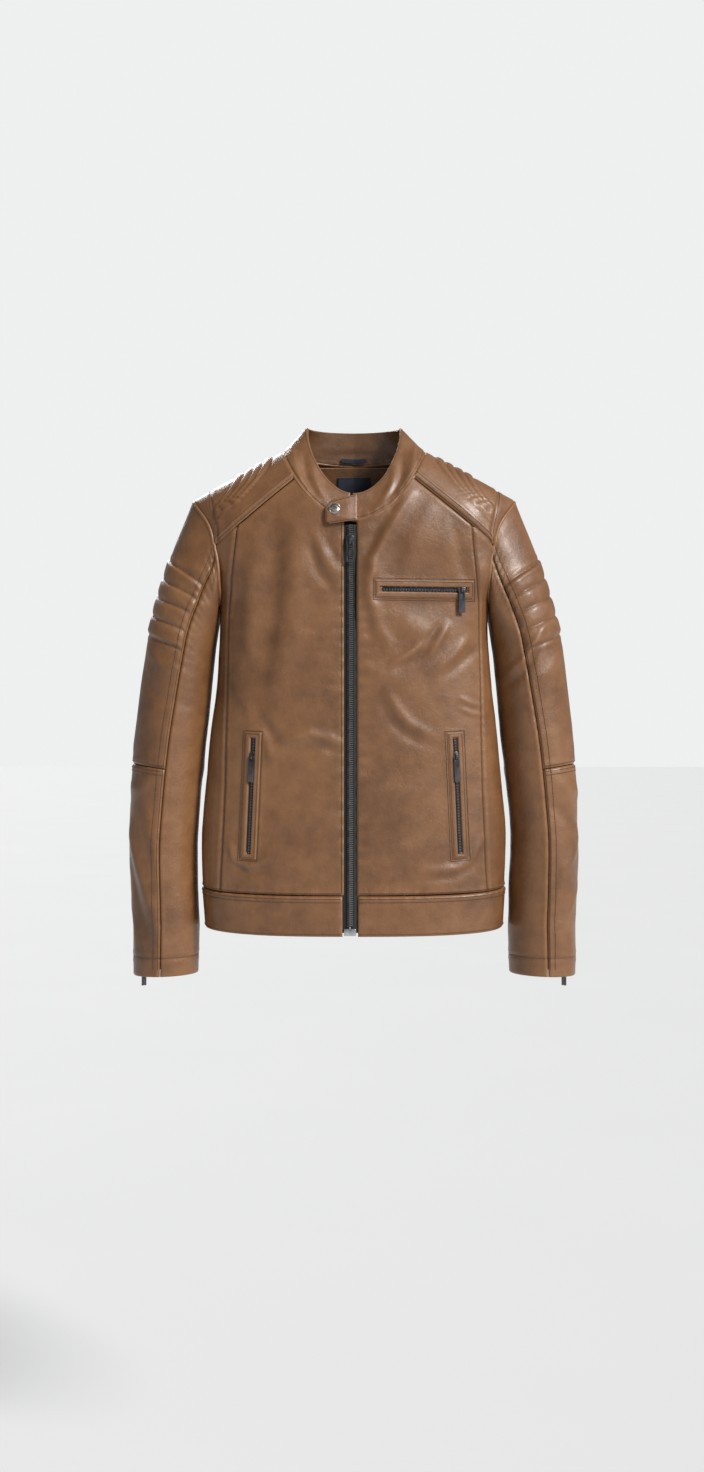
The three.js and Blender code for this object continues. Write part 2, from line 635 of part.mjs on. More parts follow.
// A slider with its pull, hinged at a place in a frame.
function zipRunner(name, matrix, slider, pull, surfaceY) {
  const holder = new THREE.Group();
  holder.applyMatrix4(matrix);
  jacket.add(holder);
  const hinge = new THREE.Group();
  hinge.position.set(0, surfaceY - 1.5 * LAYER_GAP - PLATE - ARCH.half, 0);
  holder.add(hinge);
  add(`${name}_slider`, sliderGeometry(slider.width, slider.above, slider.below), metal(COLORS.gunmetal), hinge);
  add(`${name}_pull`, pullGeometry(pull.width, pull.length, pull.window), metal(COLORS.gunmetal), hinge);
}

for (const [name, side] of [['left', 1], ['right', -1]]) {
  const panel = (surface) => mirrored(inset(surface), side);
  add(`sleeve_upper_${name}`, shell(panel(outerSleeve(0, ELBOW)), 10, 9, 0, LEATHER), leather());
  add(`sleeve_forearm_${name}`, shell(panel(outerSleeve(ELBOW, 1)), 10, 7, 0, LEATHER), leather());
  add(`sleeve_under_${name}`, shell(panel(underSleeve), 12, 15, 0, LEATHER), leather());
  const tube = (u, v, inward) => sleeve(mix(0.03, 0.985, v), mix(1, 359, u), inward);
  const lining = shell(mirrored(tube, side), 16, 8, SLEEVE_LINING_DEPTH, SLEEVE_LINING_DEPTH + LINING);
  add(`sleeve_lining_${name}`, lining, material(COLORS.lining, 0.6));

  const zip = cuffZipPlace();
  for (const vector of [zip.low, zip.up, zip.out]) vector.x *= side;
  const chainHolder = new THREE.Group();
  chainHolder.applyMatrix4(framed(zip.low, zip.up, zip.out));
  jacket.add(chainHolder);
  const reach = CUFF_ZIP_HALF - 3;
  const chain = block(-reach, reach, LAYER_GAP, LEATHER - 0.3, 1, zip.length - 24);
  add(`cuff_zip_chain_${name}`, chain, material(COLORS.tape, 0.8), chainHolder);
  const hingeAt = zip.low.clone().addScaledVector(zip.up, 4.5);
  const size = { width: 8, above: 7, below: 4 };
  zipRunner(`cuff_zip_${name}`, framed(hingeAt, zip.up, zip.out), size, { width: 8, length: 26 }, LAYER_GAP);
}

// ---- collar and tab -----------------------------------------------------------------------------------------
const COLLAR_LEATHER = 2.2;
const COLLAR_TOP_DEPTH = [64, 42];      // front and back of the top edge from the mid plane
const COLLAR_END_GAP = 2;
const TAB = { root: 4.5, tip: -39, height: 38, thick: 2.4, lift: 2.8 };
const SNAP = { x: -26, z: -92, radius: 8, dome: 3, stud: 5, studHeight: 1.2 };

function collarSeam(turn) {
  const [x, z] = neckline(turn);
  const angle = angleAt(x, z);
  return body(Math.cos(radians(turn)) > 0 ? angle : 180 - angle, z, 0);
}

function collarTop(turn) {
  const cosine = Math.cos(radians(turn));
  const isFront = cosine > 0;
  return new THREE.Vector3(
    COLLAR_TOP_HALF * Math.sin(radians(turn)),
    -(isFront ? COLLAR_TOP_DEPTH[0] : COLLAR_TOP_DEPTH[1]) * cosine,
    COLLAR_RISE - (isFront ? (COLLAR_TOP_FRONT + COLLAR_RISE) * cosine ** 1.25 : 0),
  );
}

const collarPoint = (turn, height) => collarSeam(turn).lerp(collarTop(turn), height);

function collar(turn, height, inward) {
  const step = 0.01;
  const point = collarPoint(turn, height);
  const round = collarPoint(turn + 6, height).sub(collarPoint(turn - 6, height));
  const up = collarPoint(turn, height + step).sub(point);
  const normal = round.cross(up).normalize();
  if (normal.dot(new THREE.Vector3(-point.x, -10 - point.y, 0)) < 0) normal.negate();
  return point.addScaledVector(normal, inward);
}

const collarStart = Math.asin((FRONT_LINE_X + COLLAR_END_GAP) / NECK_HALF) * 180 / Math.PI;
const collarEnd = 360 + Math.asin((FRONT_LINE_X - COLLAR_END_GAP) / NECK_HALF) * 180 / Math.PI;
const collarBand = (low, high) => (u, v, inward) =>
  collar(mix(collarStart, collarEnd, u), mix(low, high, v), inward);
add('collar_outer', shell(collarBand(0.08, 1), 40, 2, 0, COLLAR_LEATHER), leather());
const facingDepth = COLLAR_LEATHER + 2.1 * CURVED_GAP;
add('collar_facing', shell(collarBand(0.08, 1), 40, 2, facingDepth, facingDepth + 1.6),
  material(COLORS.facing, 0.5));

// Front of the throat: the collar above its seam, the panels below it.
function throatY(x, z) {
  const seam = neckline(Math.asin(x / NECK_HALF) * 180 / Math.PI)[1];
  if (z < seam) return front(x, z).y;
  const top = collarTop(Math.asin(x / COLLAR_TOP_HALF) * 180 / Math.PI);
  return mix(front(x, seam).y, top.y, (z - seam) / (top.z - seam));
}

function tabSurface(u, v, inward) {
  const x = mix(TAB.root, TAB.tip, u);
  const low = mix(-NECK_DROP_FRONT - 2, -NECK_DROP_FRONT - 8, u);
  const corner = 7 * ease((u - 0.8) / 0.2);
  const z = mix(low, mix(-67, -79, u) - corner, v);
  const lift = mix(CURVED_GAP, TAB.lift, ease(u / 0.35));
  return new THREE.Vector3(x, throatY(x, z) - lift + inward, z);
}
add('collar_tab', shell(tabSurface, 8, 6, -TAB.thick, 0), leather());

function throatFrame(x, z, lift) {
  const slope = (throatY(x, z + 3) - throatY(x, z - 3)) / 6;
  const up = new THREE.Vector3(0, slope, 1).normalize();
  const out = new THREE.Vector3(0, -1, slope).normalize();
  const origin = new THREE.Vector3(x, throatY(x, z), z).addScaledVector(out, lift);
  return framed(origin, up, out);
}

// A round piece from its half outline [radius, height outward], standing on a place.
function turned(points, matrix) {
  const geometry = new THREE.LatheGeometry(points.map(([r, h]) => new THREE.Vector2(r, h)), 20);
  geometry.rotateX(Math.PI);
  const solid = toSolid(geometry, matrix);
  return toGeometry(solid);
}
const domeAt = throatFrame(SNAP.x, SNAP.z, TAB.lift + TAB.thick + CURVED_GAP);
add('collar_snap_cap', turned([[0, 0], [SNAP.radius, 0], [SNAP.radius, 0.8], [6.4, 2.2], [3.4, SNAP.dome],
  [0, SNAP.dome + 0.2]], domeAt), metal(COLORS.nickel));
const studAt = throatFrame(SNAP.x, SNAP.z, 1.1 * CURVED_GAP);
add('collar_snap_stud', turned([[0, 0], [SNAP.stud, 0], [SNAP.stud, SNAP.studHeight], [0, SNAP.studHeight]],
  studAt), metal(COLORS.nickel));

// ---- lining, neck facing, label and loop -----------------------------------------------------------------------
const LINING_SPLIT = -UNDERARM_DROP - 7;
const LINING_FRONT = 22;
const facingX = (z) => mix(84, 66, (-z - 14) / 56);

const liningBarrel = (u, v, inward) => {
  const z = mix(-HEM_SEAM_DROP - 20, LINING_SPLIT, v);
  const start = angleAt(edgeX(1, LINING_FRONT), z);
  const end = 360 - angleAt(edgeX(-1, LINING_FRONT), z);
  return body(mix(start, end, u), z, inward);
};
const liningLook = () => material(COLORS.lining, 0.6);
const liningShell = (surface, columns, rows) =>
  shell(surface, columns, rows, LINING_DEPTH, LINING_DEPTH + LINING);
add('lining_body', liningShell(inset(liningBarrel), 28, 6), liningLook());
const liningSide = (v) => armhole(180 * (1 - v));
for (const [name, side] of [['left', 1], ['right', -1]]) {
  const edge = frontEdge(side, LINING_FRONT, LINING_SPLIT, 90);
  const upper = coons((u) => [mix(edge(0)[0], 90, u), mix(LINING_SPLIT, -UNDERARM_DROP, u)],
    shoulder, edge, liningSide);
  add(`lining_front_${name}`, liningShell(inset(onBody(crowded(upper), side), 1), 8, 9), liningLook());
}
const LINING_NECK = 0.16;       // share of the shoulder seam left bare beside the neck
const LINING_DIP = 16;
const liningCorner = mix(NECK_HALF, SHOULDER_HALF, LINING_NECK);

function liningTop(t) {
  if (t < 0.3) return behind(shoulder(mix(1, LINING_NECK, t / 0.3)));
  if (t > 0.7) return across(behind(shoulder(mix(LINING_NECK, 1, (t - 0.7) / 0.3))));
  const share = (t - 0.3) / 0.4;
  const x = mix(liningCorner, -liningCorner, share);
  const z = shoulderLine(liningCorner) - LINING_DIP * Math.sin(Math.PI * share);
  return [180 - angleAt(x, z), z];
}
const liningYoke = coons(
  (u) => mix2(backYokeEnd, across(backYokeEnd), u),
  liningTop,
  (v) => armhole(360 - backYokeTurn * (1 - v)),
  (v) => across(armhole(360 - backYokeTurn * (1 - v))),
);

// Level rows across the back as far as the yoke seam, then rows that crowd towards the shoulders.
function liningBack(u, v) {
  if (v > 0.5) return crowded(liningYoke)(u, 2 * v - 1);
  const left = armhole(mix(180, 360 - backYokeTurn, 2 * v));
  const [angle, z] = mix2(left, across(left), u);
  return [angle, z - 7 * Math.sin(Math.PI * u) * (1 - 2 * v)];
}
add('lining_back', liningShell(inset(onBody(liningBack), 1), 20, 8), liningLook());

const facingSurface = (u, v, inward) => {
  const z = mix(-70, -17, v);
  const angle = 180 - angleAt(facingX(z), z);
  return body(mix(angle, 360 - angle, u), z, inward);
};
const NECK_FACING = LINING_DEPTH + LINING + 3 * CURVED_GAP;
add('neck_facing', shell(facingSurface, 10, 4, NECK_FACING, NECK_FACING + 1.4), material(COLORS.facing, 0.5));
const LABEL_DEPTH = NECK_FACING + 1.4 + CURVED_GAP;
const labelSurface = (u, v, inward) => {
  const x = mix(-25, 25, u);
  const z = mix(-62, -20, v);
  return body(180 - angleAt(x, z), z, inward);
};
add('neck_label', shell(labelSurface, 6, 2, LABEL_DEPTH, LABEL_DEPTH + 0.6), material(COLORS.label, 0.7));
const loopBand = (u, v, inward) => collar(mix(168, 192, u), mix(0.1, 0.24, v), inward);
const loopDepth = facingDepth + 1.6 + 1.5 * CURVED_GAP;
add('hanging_loop', shell(loopBand, 6, 1, loopDepth, loopDepth + 1.2), material(COLORS.label, 0.7));

// ---- front zip ---------------------------------------------------------------------------------------------------
const CHAIN_FRONT = -0.6;
const CHAIN_BACK = LEATHER;
const TAPE_WIDTH = 15;
const BOX = { width: 16.4, height: 9.5 };
const zipTop = front(FRONT_LINE_X, -ZIP_TOP_DROP);
const zipEnd = front(FRONT_LINE_X, -ZIP_BOTTOM_DROP);
const zipUp = zipTop.clone().sub(zipEnd).normalize();
const zipOut = new THREE.Vector3(0, -zipUp.z, zipUp.y);
const zipLength = zipTop.distanceTo(zipEnd);
const chainLength = zipLength - BOX.height - 1;
const zipHolder = new THREE.Group();
zipHolder.applyMatrix4(framed(zipTop, zipUp, zipOut));
jacket.add(zipHolder);

function teethOutline(side) {
  const outline = new THREE.Shape();
  outline.moveTo(side * TOOTH_BAND, 0);
  outline.lineTo(side * TOOTH_BAND, -chainLength);
  outline.lineTo(side * 1.3, -chainLength);
  const first = side > 0 ? TOOTH_PITCH / 2 : 0;
  const count = Math.floor((chainLength - first - TOOTH_PITCH) / TOOTH_PITCH);
  for (let i = count; i >= 0; i -= 1) {
    const top = -first - i * TOOTH_PITCH - 1;
    const bottom = top - TOOTH_PITCH / 2 + 2 * LAYER_GAP;
    outline.lineTo(side * 1.3, bottom);
    outline.lineTo(-side * 0.9, bottom);
    outline.lineTo(-side * 0.9, top);
    outline.lineTo(side * 1.3, top);
  }
  outline.lineTo(side * 1.3, 0);
  return outline;
}

for (const [name, side] of [['left', 1], ['right', -1]]) {
  const depth = CHAIN_BACK - CHAIN_FRONT;
  const teeth = new THREE.ExtrudeGeometry(teethOutline(side), { depth, bevelEnabled: false });
  teeth.rotateX(Math.PI / 2);
  teeth.translate(0, CHAIN_BACK, 0);
  add(`main_zip_teeth_${name}`, teeth, metal(COLORS.gunmetal), zipHolder);
  const [inner, outer] = [0.3 * side, TAPE_WIDTH * side];
  const back = LEATHER + CURVED_GAP;
  const tape = block(Math.min(inner, outer), Math.max(inner, outer), back, back + 0.8, -chainLength, 0);
  add(`main_zip_tape_${name}`, tape, material(COLORS.tape, 0.9), zipHolder);
}
const boxTop = -chainLength - LAYER_GAP;
add('main_zip_box', block(-BOX.width / 2, BOX.width / 2, -1.8, 2.8, boxTop - BOX.height, boxTop),
  metal(COLORS.silver), zipHolder);

const mainHinge = zipTop.clone().addScaledVector(zipUp, -24);
zipRunner('main_zip', framed(mainHinge, zipUp, zipOut), { width: 11, above: 9, below: 5.5 },
  { width: 9.5, length: 27, window: true }, CHAIN_FRONT);

// ---- pocket sliders ------------------------------------------------------------------------------------------------
function surfaceOut(x, z) {
  const here = front(x, z);
  const right = front(x + 2, z).sub(here);
  const up = front(x, z + 2).sub(here);
  return right.cross(up).normalize();
}
for (const pocket of pockets) {
  const isChest = pocket.name === 'chest_pocket';
  const place = along(pocket, pocket.length / 2 - (isChest ? 9 : 26));
  const ahead = along(pocket, pocket.length / 2 - 5);
  const origin = front(place.x, place.z);
  const run = front(ahead.x, ahead.z).sub(origin).normalize();
  const out = surfaceOut(place.x, place.z);
  const up = isChest ? new THREE.Vector3(0, 0, 1) : run;
  out.addScaledVector(up, -out.dot(up)).normalize();
  const size = isChest ? { width: 12, above: 3.7, below: 3.7 } : { width: 7.4, above: 7, below: 6 };
  const pull = isChest ? { width: 9, length: 31 } : { width: 7.6, length: 34 };
  zipRunner(pocket.name, framed(origin, up, out), size, pull, LAYER_GAP);
}

export default jacket;
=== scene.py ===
"""A tan leather riding jacket, hanging closed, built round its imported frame.

Lengths in this script are millimetres until a mesh is made, then metres. -Y is the jacket's front, +X the
wearer's left, and the origin is the middle of the neck opening.
"""

import math

import bmesh
import bpy
import numpy as np
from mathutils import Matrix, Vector


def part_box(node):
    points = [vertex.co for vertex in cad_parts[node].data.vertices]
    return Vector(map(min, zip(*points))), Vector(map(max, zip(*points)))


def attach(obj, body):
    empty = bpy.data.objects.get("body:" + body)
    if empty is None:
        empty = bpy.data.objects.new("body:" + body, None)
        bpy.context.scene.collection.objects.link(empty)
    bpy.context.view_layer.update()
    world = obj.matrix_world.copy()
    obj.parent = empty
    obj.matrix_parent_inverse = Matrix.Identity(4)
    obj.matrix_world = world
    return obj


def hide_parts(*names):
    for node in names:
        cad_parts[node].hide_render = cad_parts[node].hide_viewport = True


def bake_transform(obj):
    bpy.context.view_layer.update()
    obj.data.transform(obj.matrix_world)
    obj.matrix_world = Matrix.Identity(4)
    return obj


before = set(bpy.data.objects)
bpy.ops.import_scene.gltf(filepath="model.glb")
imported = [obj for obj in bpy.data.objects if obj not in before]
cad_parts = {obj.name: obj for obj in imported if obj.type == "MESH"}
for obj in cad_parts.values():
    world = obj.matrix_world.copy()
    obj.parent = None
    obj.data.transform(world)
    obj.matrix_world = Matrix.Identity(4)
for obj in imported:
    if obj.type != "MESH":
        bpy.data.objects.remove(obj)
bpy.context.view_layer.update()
MM = 0.001

# ---- sizes shared with the frame ----------------------------------------------------------------
SHOULDER_HALF = 224
SHOULDER_DROP = 67
NECK_HALF = 100
UNDERARM_DROP = 215
HEM_SEAM_DROP = 604
HEM_HEIGHT = 55
HEM_SAG = 8
CHEST_HALF = 187.5
HIP_HALF = 211
CHEST_DEPTH_FRONT = 78
FRONT_FLARE = 6
BACK_DEPTH = 77
SQUARE = 2.8
NECK_DROP_FRONT = 103
NECK_DROP_BACK = 10
COLLAR_TOP_HALF = 65
COLLAR_RISE = 36
COLLAR_TOP_FRONT = 65
COLLAR_TOP_DEPTH = (64, 42)
SLEEVE_END_DROP = 726
SLEEVE_WIDTH = 98
CUFF_WIDTH = 92
SLEEVE_DEPTH = 104
ARM_GAP = 6
ELBOW = 0.58
FRONT_X = -5.5
ZIP_HALF = 7.5
HEM_OPENING = 9.2
ZIP_TOP_DROP = NECK_DROP_FRONT + 7
ZIP_BOTTOM_DROP = HEM_SEAM_DROP + HEM_SAG + HEM_HEIGHT - 1
TIP_ANGLE = 70
ARMHOLE_FRONT_ANGLE = 60
SIDE_SEAM_ANGLE = 110
ARMHOLE_HALF = (UNDERARM_DROP - SHOULDER_DROP) / 2
ARMHOLE_Z = -(UNDERARM_DROP + SHOULDER_DROP) / 2
YOKE_NECK_TURN = 54
YOKE_ARM_TURN = 85
PRINCESS_TOP_X = 161
BACK_YOKE_DROP = 118
LEATHER = 2
LINING_DEPTH = 6
POCKETS = {
    "chest_pocket": dict(x=95, z=-197.6, length=120, frame=25, tilt=0, slot=8.4, side=1),
    "hand_pocket_left": dict(x=139.8, z=-477, length=158, frame=22, tilt=92.5, slot=8.4, side=1),
    "hand_pocket_right": dict(x=-139.8, z=-477, length=158, frame=22, tilt=87.5, slot=8.4, side=-1),
}

# ---- small maths, all on numpy arrays -----------------------------------------------------------
rad = np.radians


def mix(a, b, t):
    return a + (b - a) * t


def ease(t):
    t = np.clip(t, 0, 1)
    return t * t * (3 - 2 * t)


def power(value, exponent):
    return np.sign(value) * np.abs(value) ** exponent


def profile(pairs):
    """A smooth value through (key, value) pairs whose keys rise."""
    keys = np.array([p[0] for p in pairs], float)
    values = np.array([p[1] for p in pairs], float)
    last = len(keys) - 1
    slope = np.array([(values[min(last, i + 1)] - values[max(0, i - 1)])
                      / (keys[min(last, i + 1)] - keys[max(0, i - 1)]) for i in range(last + 1)])

    def at(key):
        key = np.clip(np.asarray(key, float), keys[0], keys[-1])
        i = np.clip(np.searchsorted(keys, key, side="right") - 1, 0, last - 1)
        step = keys[i + 1] - keys[i]
        t = (key - keys[i]) / step
        bend = step * (slope[i] * t * (1 - t) ** 2 - slope[i + 1] * t * t * (1 - t))
        return mix(values[i], values[i + 1], t * t * (3 - 2 * t)) + bend
    return at


def lattice(n):
    """Seeded random values for the noise."""
    return np.random.default_rng(n).uniform(-1, 1, (64, 64, 64))


GRID = lattice(7)


def noise(point, size, seed=0):
    """Smooth noise from -1 to 1 at points, with features about size millimetres."""
    q = point / size + seed * 7.31 + 100
    base = np.floor(q).astype(int)
    t = q - base
    t = t * t * (3 - 2 * t)
    total = 0
    for dx in (0, 1):
        for dy in (0, 1):
            for dz in (0, 1):
                corner = GRID[(base[..., 0] + dx) % 64, (base[..., 1] + dy) % 64, (base[..., 2] + dz) % 64]
                wx = t[..., 0] if dx else 1 - t[..., 0]
                wy = t[..., 1] if dy else 1 - t[..., 1]
                wz = t[..., 2] if dz else 1 - t[..., 2]
                total = total + corner * wx * wy * wz
    return total


def segment_distance(a, b, points):
    """Distance of each array point (a, b) to a polyline, and how far along it, from 0 to 1."""
    best = np.full(np.shape(a), 1e9)
    place = np.zeros(np.shape(a))
    points = np.array(points, float)
    lengths = np.hypot(*np.diff(points, axis=0).T)
    starts = np.concatenate([[0], np.cumsum(lengths)])
    for i, length in enumerate(lengths):
        da, db = (points[i + 1] - points[i]) / length
        t = np.clip((a - points[i, 0]) * da + (b - points[i, 1]) * db, 0, length)
        gap = np.hypot(a - points[i, 0] - t * da, b - points[i, 1] - t * db)
        place = np.where(gap < best, (starts[i] + t) / starts[-1], place)
        best = np.minimum(best, gap)
    return best, place


def stroke(a, b, points, width, height):
    """A fold along a polyline: a ridge if height is positive, fading out at both ends."""
    gap, place = segment_distance(a, b, points)
    taper = np.sqrt(np.clip(np.sin(np.pi * (0.04 + 0.92 * place)), 0, 1))
    return height * taper * np.exp(-(gap / width) ** 2)


# ---- the body's surface -------------------------------------------------------------------------
hem_end = -(HEM_SEAM_DROP + HEM_HEIGHT)
body_drop = HEM_SEAM_DROP - UNDERARM_DROP
half_width = profile([
    (hem_end, HIP_HALF - 4),
    (-HEM_SEAM_DROP, HIP_HALF - 1),
    (-UNDERARM_DROP - 0.81 * body_drop, HIP_HALF),
    (-UNDERARM_DROP - 0.51 * body_drop, mix(CHEST_HALF, HIP_HALF, 0.57)),
    (-UNDERARM_DROP - 0.19 * body_drop, CHEST_HALF + 0.5),
    (-UNDERARM_DROP, CHEST_HALF),
    (ARMHOLE_Z - 0.54 * ARMHOLE_HALF, mix(CHEST_HALF, SHOULDER_HALF, 0.32)),
    (ARMHOLE_Z, mix(CHEST_HALF, SHOULDER_HALF, 0.63)),
    (ARMHOLE_Z + 0.51 * ARMHOLE_HALF, mix(CHEST_HALF, SHOULDER_HALF, 0.84)),
    (-SHOULDER_DROP, SHOULDER_HALF / math.sin(math.radians(TIP_ANGLE)) ** (2 / SQUARE)),
    (COLLAR_RISE, SHOULDER_HALF + 24),
])


def shoulder_line(x):
    return (NECK_HALF - np.abs(x)) * SHOULDER_DROP / (SHOULDER_HALF - NECK_HALF)


def angle_at(x, z):
    return np.sign(x) * np.degrees(np.arcsin(np.minimum(1, (np.abs(x) / half_width(z)) ** (SQUARE / 2))))


def raw_body(angle, z, inward=0.0):
    """The smooth body. An angle of 0 is the front middle, 90 the wearer's left side, 180 the back."""
    angle, z = np.broadcast_arrays(np.asarray(angle, float), np.asarray(z, float))
    turn = rad(angle)
    is_front = np.cos(turn) > 0
    wide = power(np.sin(turn), 2 / SQUARE)
    x = (half_width(z) - inward) * wide
    below = np.maximum(0, shoulder_line(half_width(z) * wide) - z)
    round_over = mix(150, 80, ease((np.abs(x) - 60) / (SHOULDER_HALF - 60)))
    over = np.arccos(1 - np.minimum(1, below / round_over))
    front = CHEST_DEPTH_FRONT + FRONT_FLARE * (-z - ZIP_TOP_DROP) / (ZIP_BOTTOM_DROP - ZIP_TOP_DROP)
    back = BACK_DEPTH - 12 * ease((z + 150) / 150)
    depth = (np.where(is_front, front, back) - inward) * np.abs(np.cos(turn)) ** (2 / SQUARE) * np.sin(over)
    y = depth * np.where(is_front, -1, 1)
    return np.stack([x, y, z - inward * np.cos(over)], -1)


def along(pocket, run, aside=0.0):
    turn = math.radians(pocket["tilt"])
    return (pocket["x"] + run * math.cos(turn) - aside * math.sin(turn),
            pocket["z"] + run * math.sin(turn) + aside * math.cos(turn))


def pocket_place(pocket, x, z):
    """How far (x, z) lies along a pocket's zip and beside it."""
    turn = math.radians(pocket["tilt"])
    run = (x - pocket["x"]) * math.cos(turn) + (z - pocket["z"]) * math.sin(turn)
    return run, (z - pocket["z"]) * math.cos(turn) - (x - pocket["x"]) * math.sin(turn)


def raw_front_y(x, z):
    return raw_body(angle_at(x, z), z)[..., 1]


def straighten(x, z):
    """A pocket's zip pulls the leather straight along its length."""
    shift = 0
    for pocket in POCKETS.values():
        run, aside = pocket_place(pocket, x, z)
        half = pocket["length"] / 2 + 8
        reach = (1 - ease((np.abs(run) - half) / 40)) * (1 - ease((np.abs(aside) - 16) / 50))
        ends = [raw_front_y(*map(np.float64, along(pocket, side * half))) for side in (-1, 1)]
        bulge = raw_front_y(np.float64(pocket["x"]), np.float64(pocket["z"])) - sum(ends) / 2
        here = along(pocket, run)
        line = mix(ends[0], ends[1], (run + half) / (2 * half)) + bulge / 2
        shift = shift + (line - raw_front_y(*here)) * reach
    return shift


def smooth_body(angle, z, inward=0.0):
    point = raw_body(angle, z, inward)
    shift = straighten(point[..., 0], point[..., 2])
    point[..., 1] += np.where(point[..., 1] < 0, shift * ease(-point[..., 1] / 10), 0)
    return point


# ---- seam lines of the body ---------------------------------------------------------------------
def hem_seam(angle):
    return -HEM_SEAM_DROP - HEM_SAG * np.cos(rad(angle))


def neckline(turn):
    """(x, z) of the neckline, by degrees round the neck from the front middle."""
    cosine = np.cos(rad(turn))
    in_front = -NECK_DROP_FRONT * np.abs(cosine) ** 1.7
    drop = np.where(cosine > 0, in_front, -NECK_DROP_BACK * np.abs(cosine) ** 1.5)
    return NECK_HALF * np.sin(rad(turn)), drop


def armhole(turn):
    """(body angle, z) of the armhole, by degrees from the shoulder tip round the front."""
    turn = np.asarray(turn, float)
    half = np.where(turn <= 180, turn, 360 - turn)
    sine = np.sin(rad(half))
    upper = TIP_ANGLE - (TIP_ANGLE - ARMHOLE_FRONT_ANGLE) * sine * sine
    angle = np.where(half < 90, upper, 90 - (90 - ARMHOLE_FRONT_ANGLE) * sine)
    return np.where(turn <= 180, angle, 180 - angle), ARMHOLE_Z + ARMHOLE_HALF * np.cos(rad(half))


princess = profile([
    (-HEM_SEAM_DROP, HIP_HALF - 28),
    (-UNDERARM_DROP - 0.77 * body_drop, HIP_HALF - 33),
    (-UNDERARM_DROP - 0.38 * body_drop, CHEST_HALF - 13.5),
    (-UNDERARM_DROP - 0.04 * body_drop, CHEST_HALF - 15.5),
    (-180, CHEST_HALF - 19.5),
    (-111, PRINCESS_TOP_X),
])
yoke_neck = [float(v) for v in neckline(YOKE_NECK_TURN)]
_arm = raw_body(*armhole(YOKE_ARM_TURN))
yoke_arm = [float(_arm[0]), float(_arm[2])]


def yoke_z(x):
    return mix(yoke_neck[1], yoke_arm[1], (x - yoke_neck[0]) / (yoke_arm[0] - yoke_neck[0]))


princess_top = float(yoke_z(PRINCESS_TOP_X))
princess_hem = float(hem_seam(angle_at(princess(-HEM_SEAM_DROP), -HEM_SEAM_DROP)))
ARMHOLE_SIDE_TURN = 180 + math.degrees(math.asin((SIDE_SEAM_ANGLE - 90) / (90 - ARMHOLE_FRONT_ANGLE)))
armhole_side = [float(v) for v in armhole(ARMHOLE_SIDE_TURN)]
back_yoke_turn = math.degrees(math.acos((-BACK_YOKE_DROP - ARMHOLE_Z) / ARMHOLE_HALF))


def flat(x, z):
    return angle_at(x, z), z + 0 * x


def join(pieces):
    """One curve from (share, function) pieces, each function of 0 to 1; the shares are ends of ranges."""
    def at(t):
        t = np.asarray(t, float)
        start = 0.0
        a, b = None, None
        for end, curve in pieces:
            pa, pb = curve(np.clip((t - start) / (end - start), 0, 1))
            a = pa + 0 * t if a is None else np.where(t > start, pa, a)
            b = pb + 0 * t if b is None else np.where(t > start, pb, b)
            start = end
        return a, b
    return at


def front_edge(side, half, bottom, turn):
    x = side * FRONT_X + half
    start = math.degrees(math.asin(x / NECK_HALF))
    corner = float(neckline(start)[1])
    return join([
        (0.85, lambda t: flat(x + 0 * t, mix(bottom, corner, t))),
        (1, lambda t: flat(*neckline(mix(start, turn, t)))),
    ])


def shoulder(t):
    x = mix(NECK_HALF, SHOULDER_HALF, t)
    return flat(x, shoulder_line(x))


def behind(pair):
    return 180 - pair[0], pair[1]


def across(pair):
    return 360 - pair[0], pair[1]


def princess_line(v):
    z = mix(princess_hem, princess_top, v)
    return flat(princess(z), z)


def line(a, b):
    return lambda t: (mix(a[0], b[0], t), mix(a[1], b[1], t))


def coons(bottom, top, left, right):
    """Fills the space between four curves of (angle, z)."""
    corners = [bottom(0.0), bottom(1.0), top(0.0), top(1.0)]

    def at(u, v):
        curves = [bottom(u), top(u), left(v), right(v)]
        return tuple(
            mix(curves[0][k], curves[1][k], v) + mix(curves[2][k], curves[3][k], u)
            - mix(mix(corners[0][k], corners[1][k], u), mix(corners[2][k], corners[3][k], u), v)
            for k in (0, 1))
    return at


def front_map(side):
    x = side * FRONT_X + ZIP_HALF
    bottom = line(flat(x, hem_seam(0)), flat(float(princess(-HEM_SEAM_DROP)), princess_hem))

    def top(u):
        place = mix(yoke_neck[0], PRINCESS_TOP_X, u)
        return flat(place, yoke_z(place))
    return coons(bottom, top, front_edge(side, ZIP_HALF, float(hem_seam(0)), YOKE_NECK_TURN), princess_line)


yoke_map = coons(
    lambda u: flat(mix(yoke_neck[0], yoke_arm[0], u), yoke_z(mix(yoke_neck[0], yoke_arm[0], u))),
    shoulder,
    lambda v: flat(*neckline(mix(YOKE_NECK_TURN, 90, v))),
    lambda v: armhole(YOKE_ARM_TURN * (1 - v)),
)


def back_neck(t):
    x, z = neckline(mix(90, 270, t))
    return 180 - angle_at(x, z), z


back_top = join([
    (0.3, lambda t: behind(shoulder(1 - t))),
    (0.7, back_neck),
    (1, lambda t: across(behind(shoulder(t)))),
])
back_yoke_end = armhole(360 - back_yoke_turn)
back_yoke_line = line(back_yoke_end, across(back_yoke_end))
back_yoke_map = coons(
    back_yoke_line, back_top,
    lambda v: armhole(360 - back_yoke_turn * (1 - v)),
    lambda v: across(armhole(360 - back_yoke_turn * (1 - v))),
)
back_side = join([
    (0.8, line((SIDE_SEAM_ANGLE, float(hem_seam(SIDE_SEAM_ANGLE))), (SIDE_SEAM_ANGLE, armhole_side[1]))),
    (1, lambda t: armhole(mix(ARMHOLE_SIDE_TURN, 360 - back_yoke_turn, t))),
])


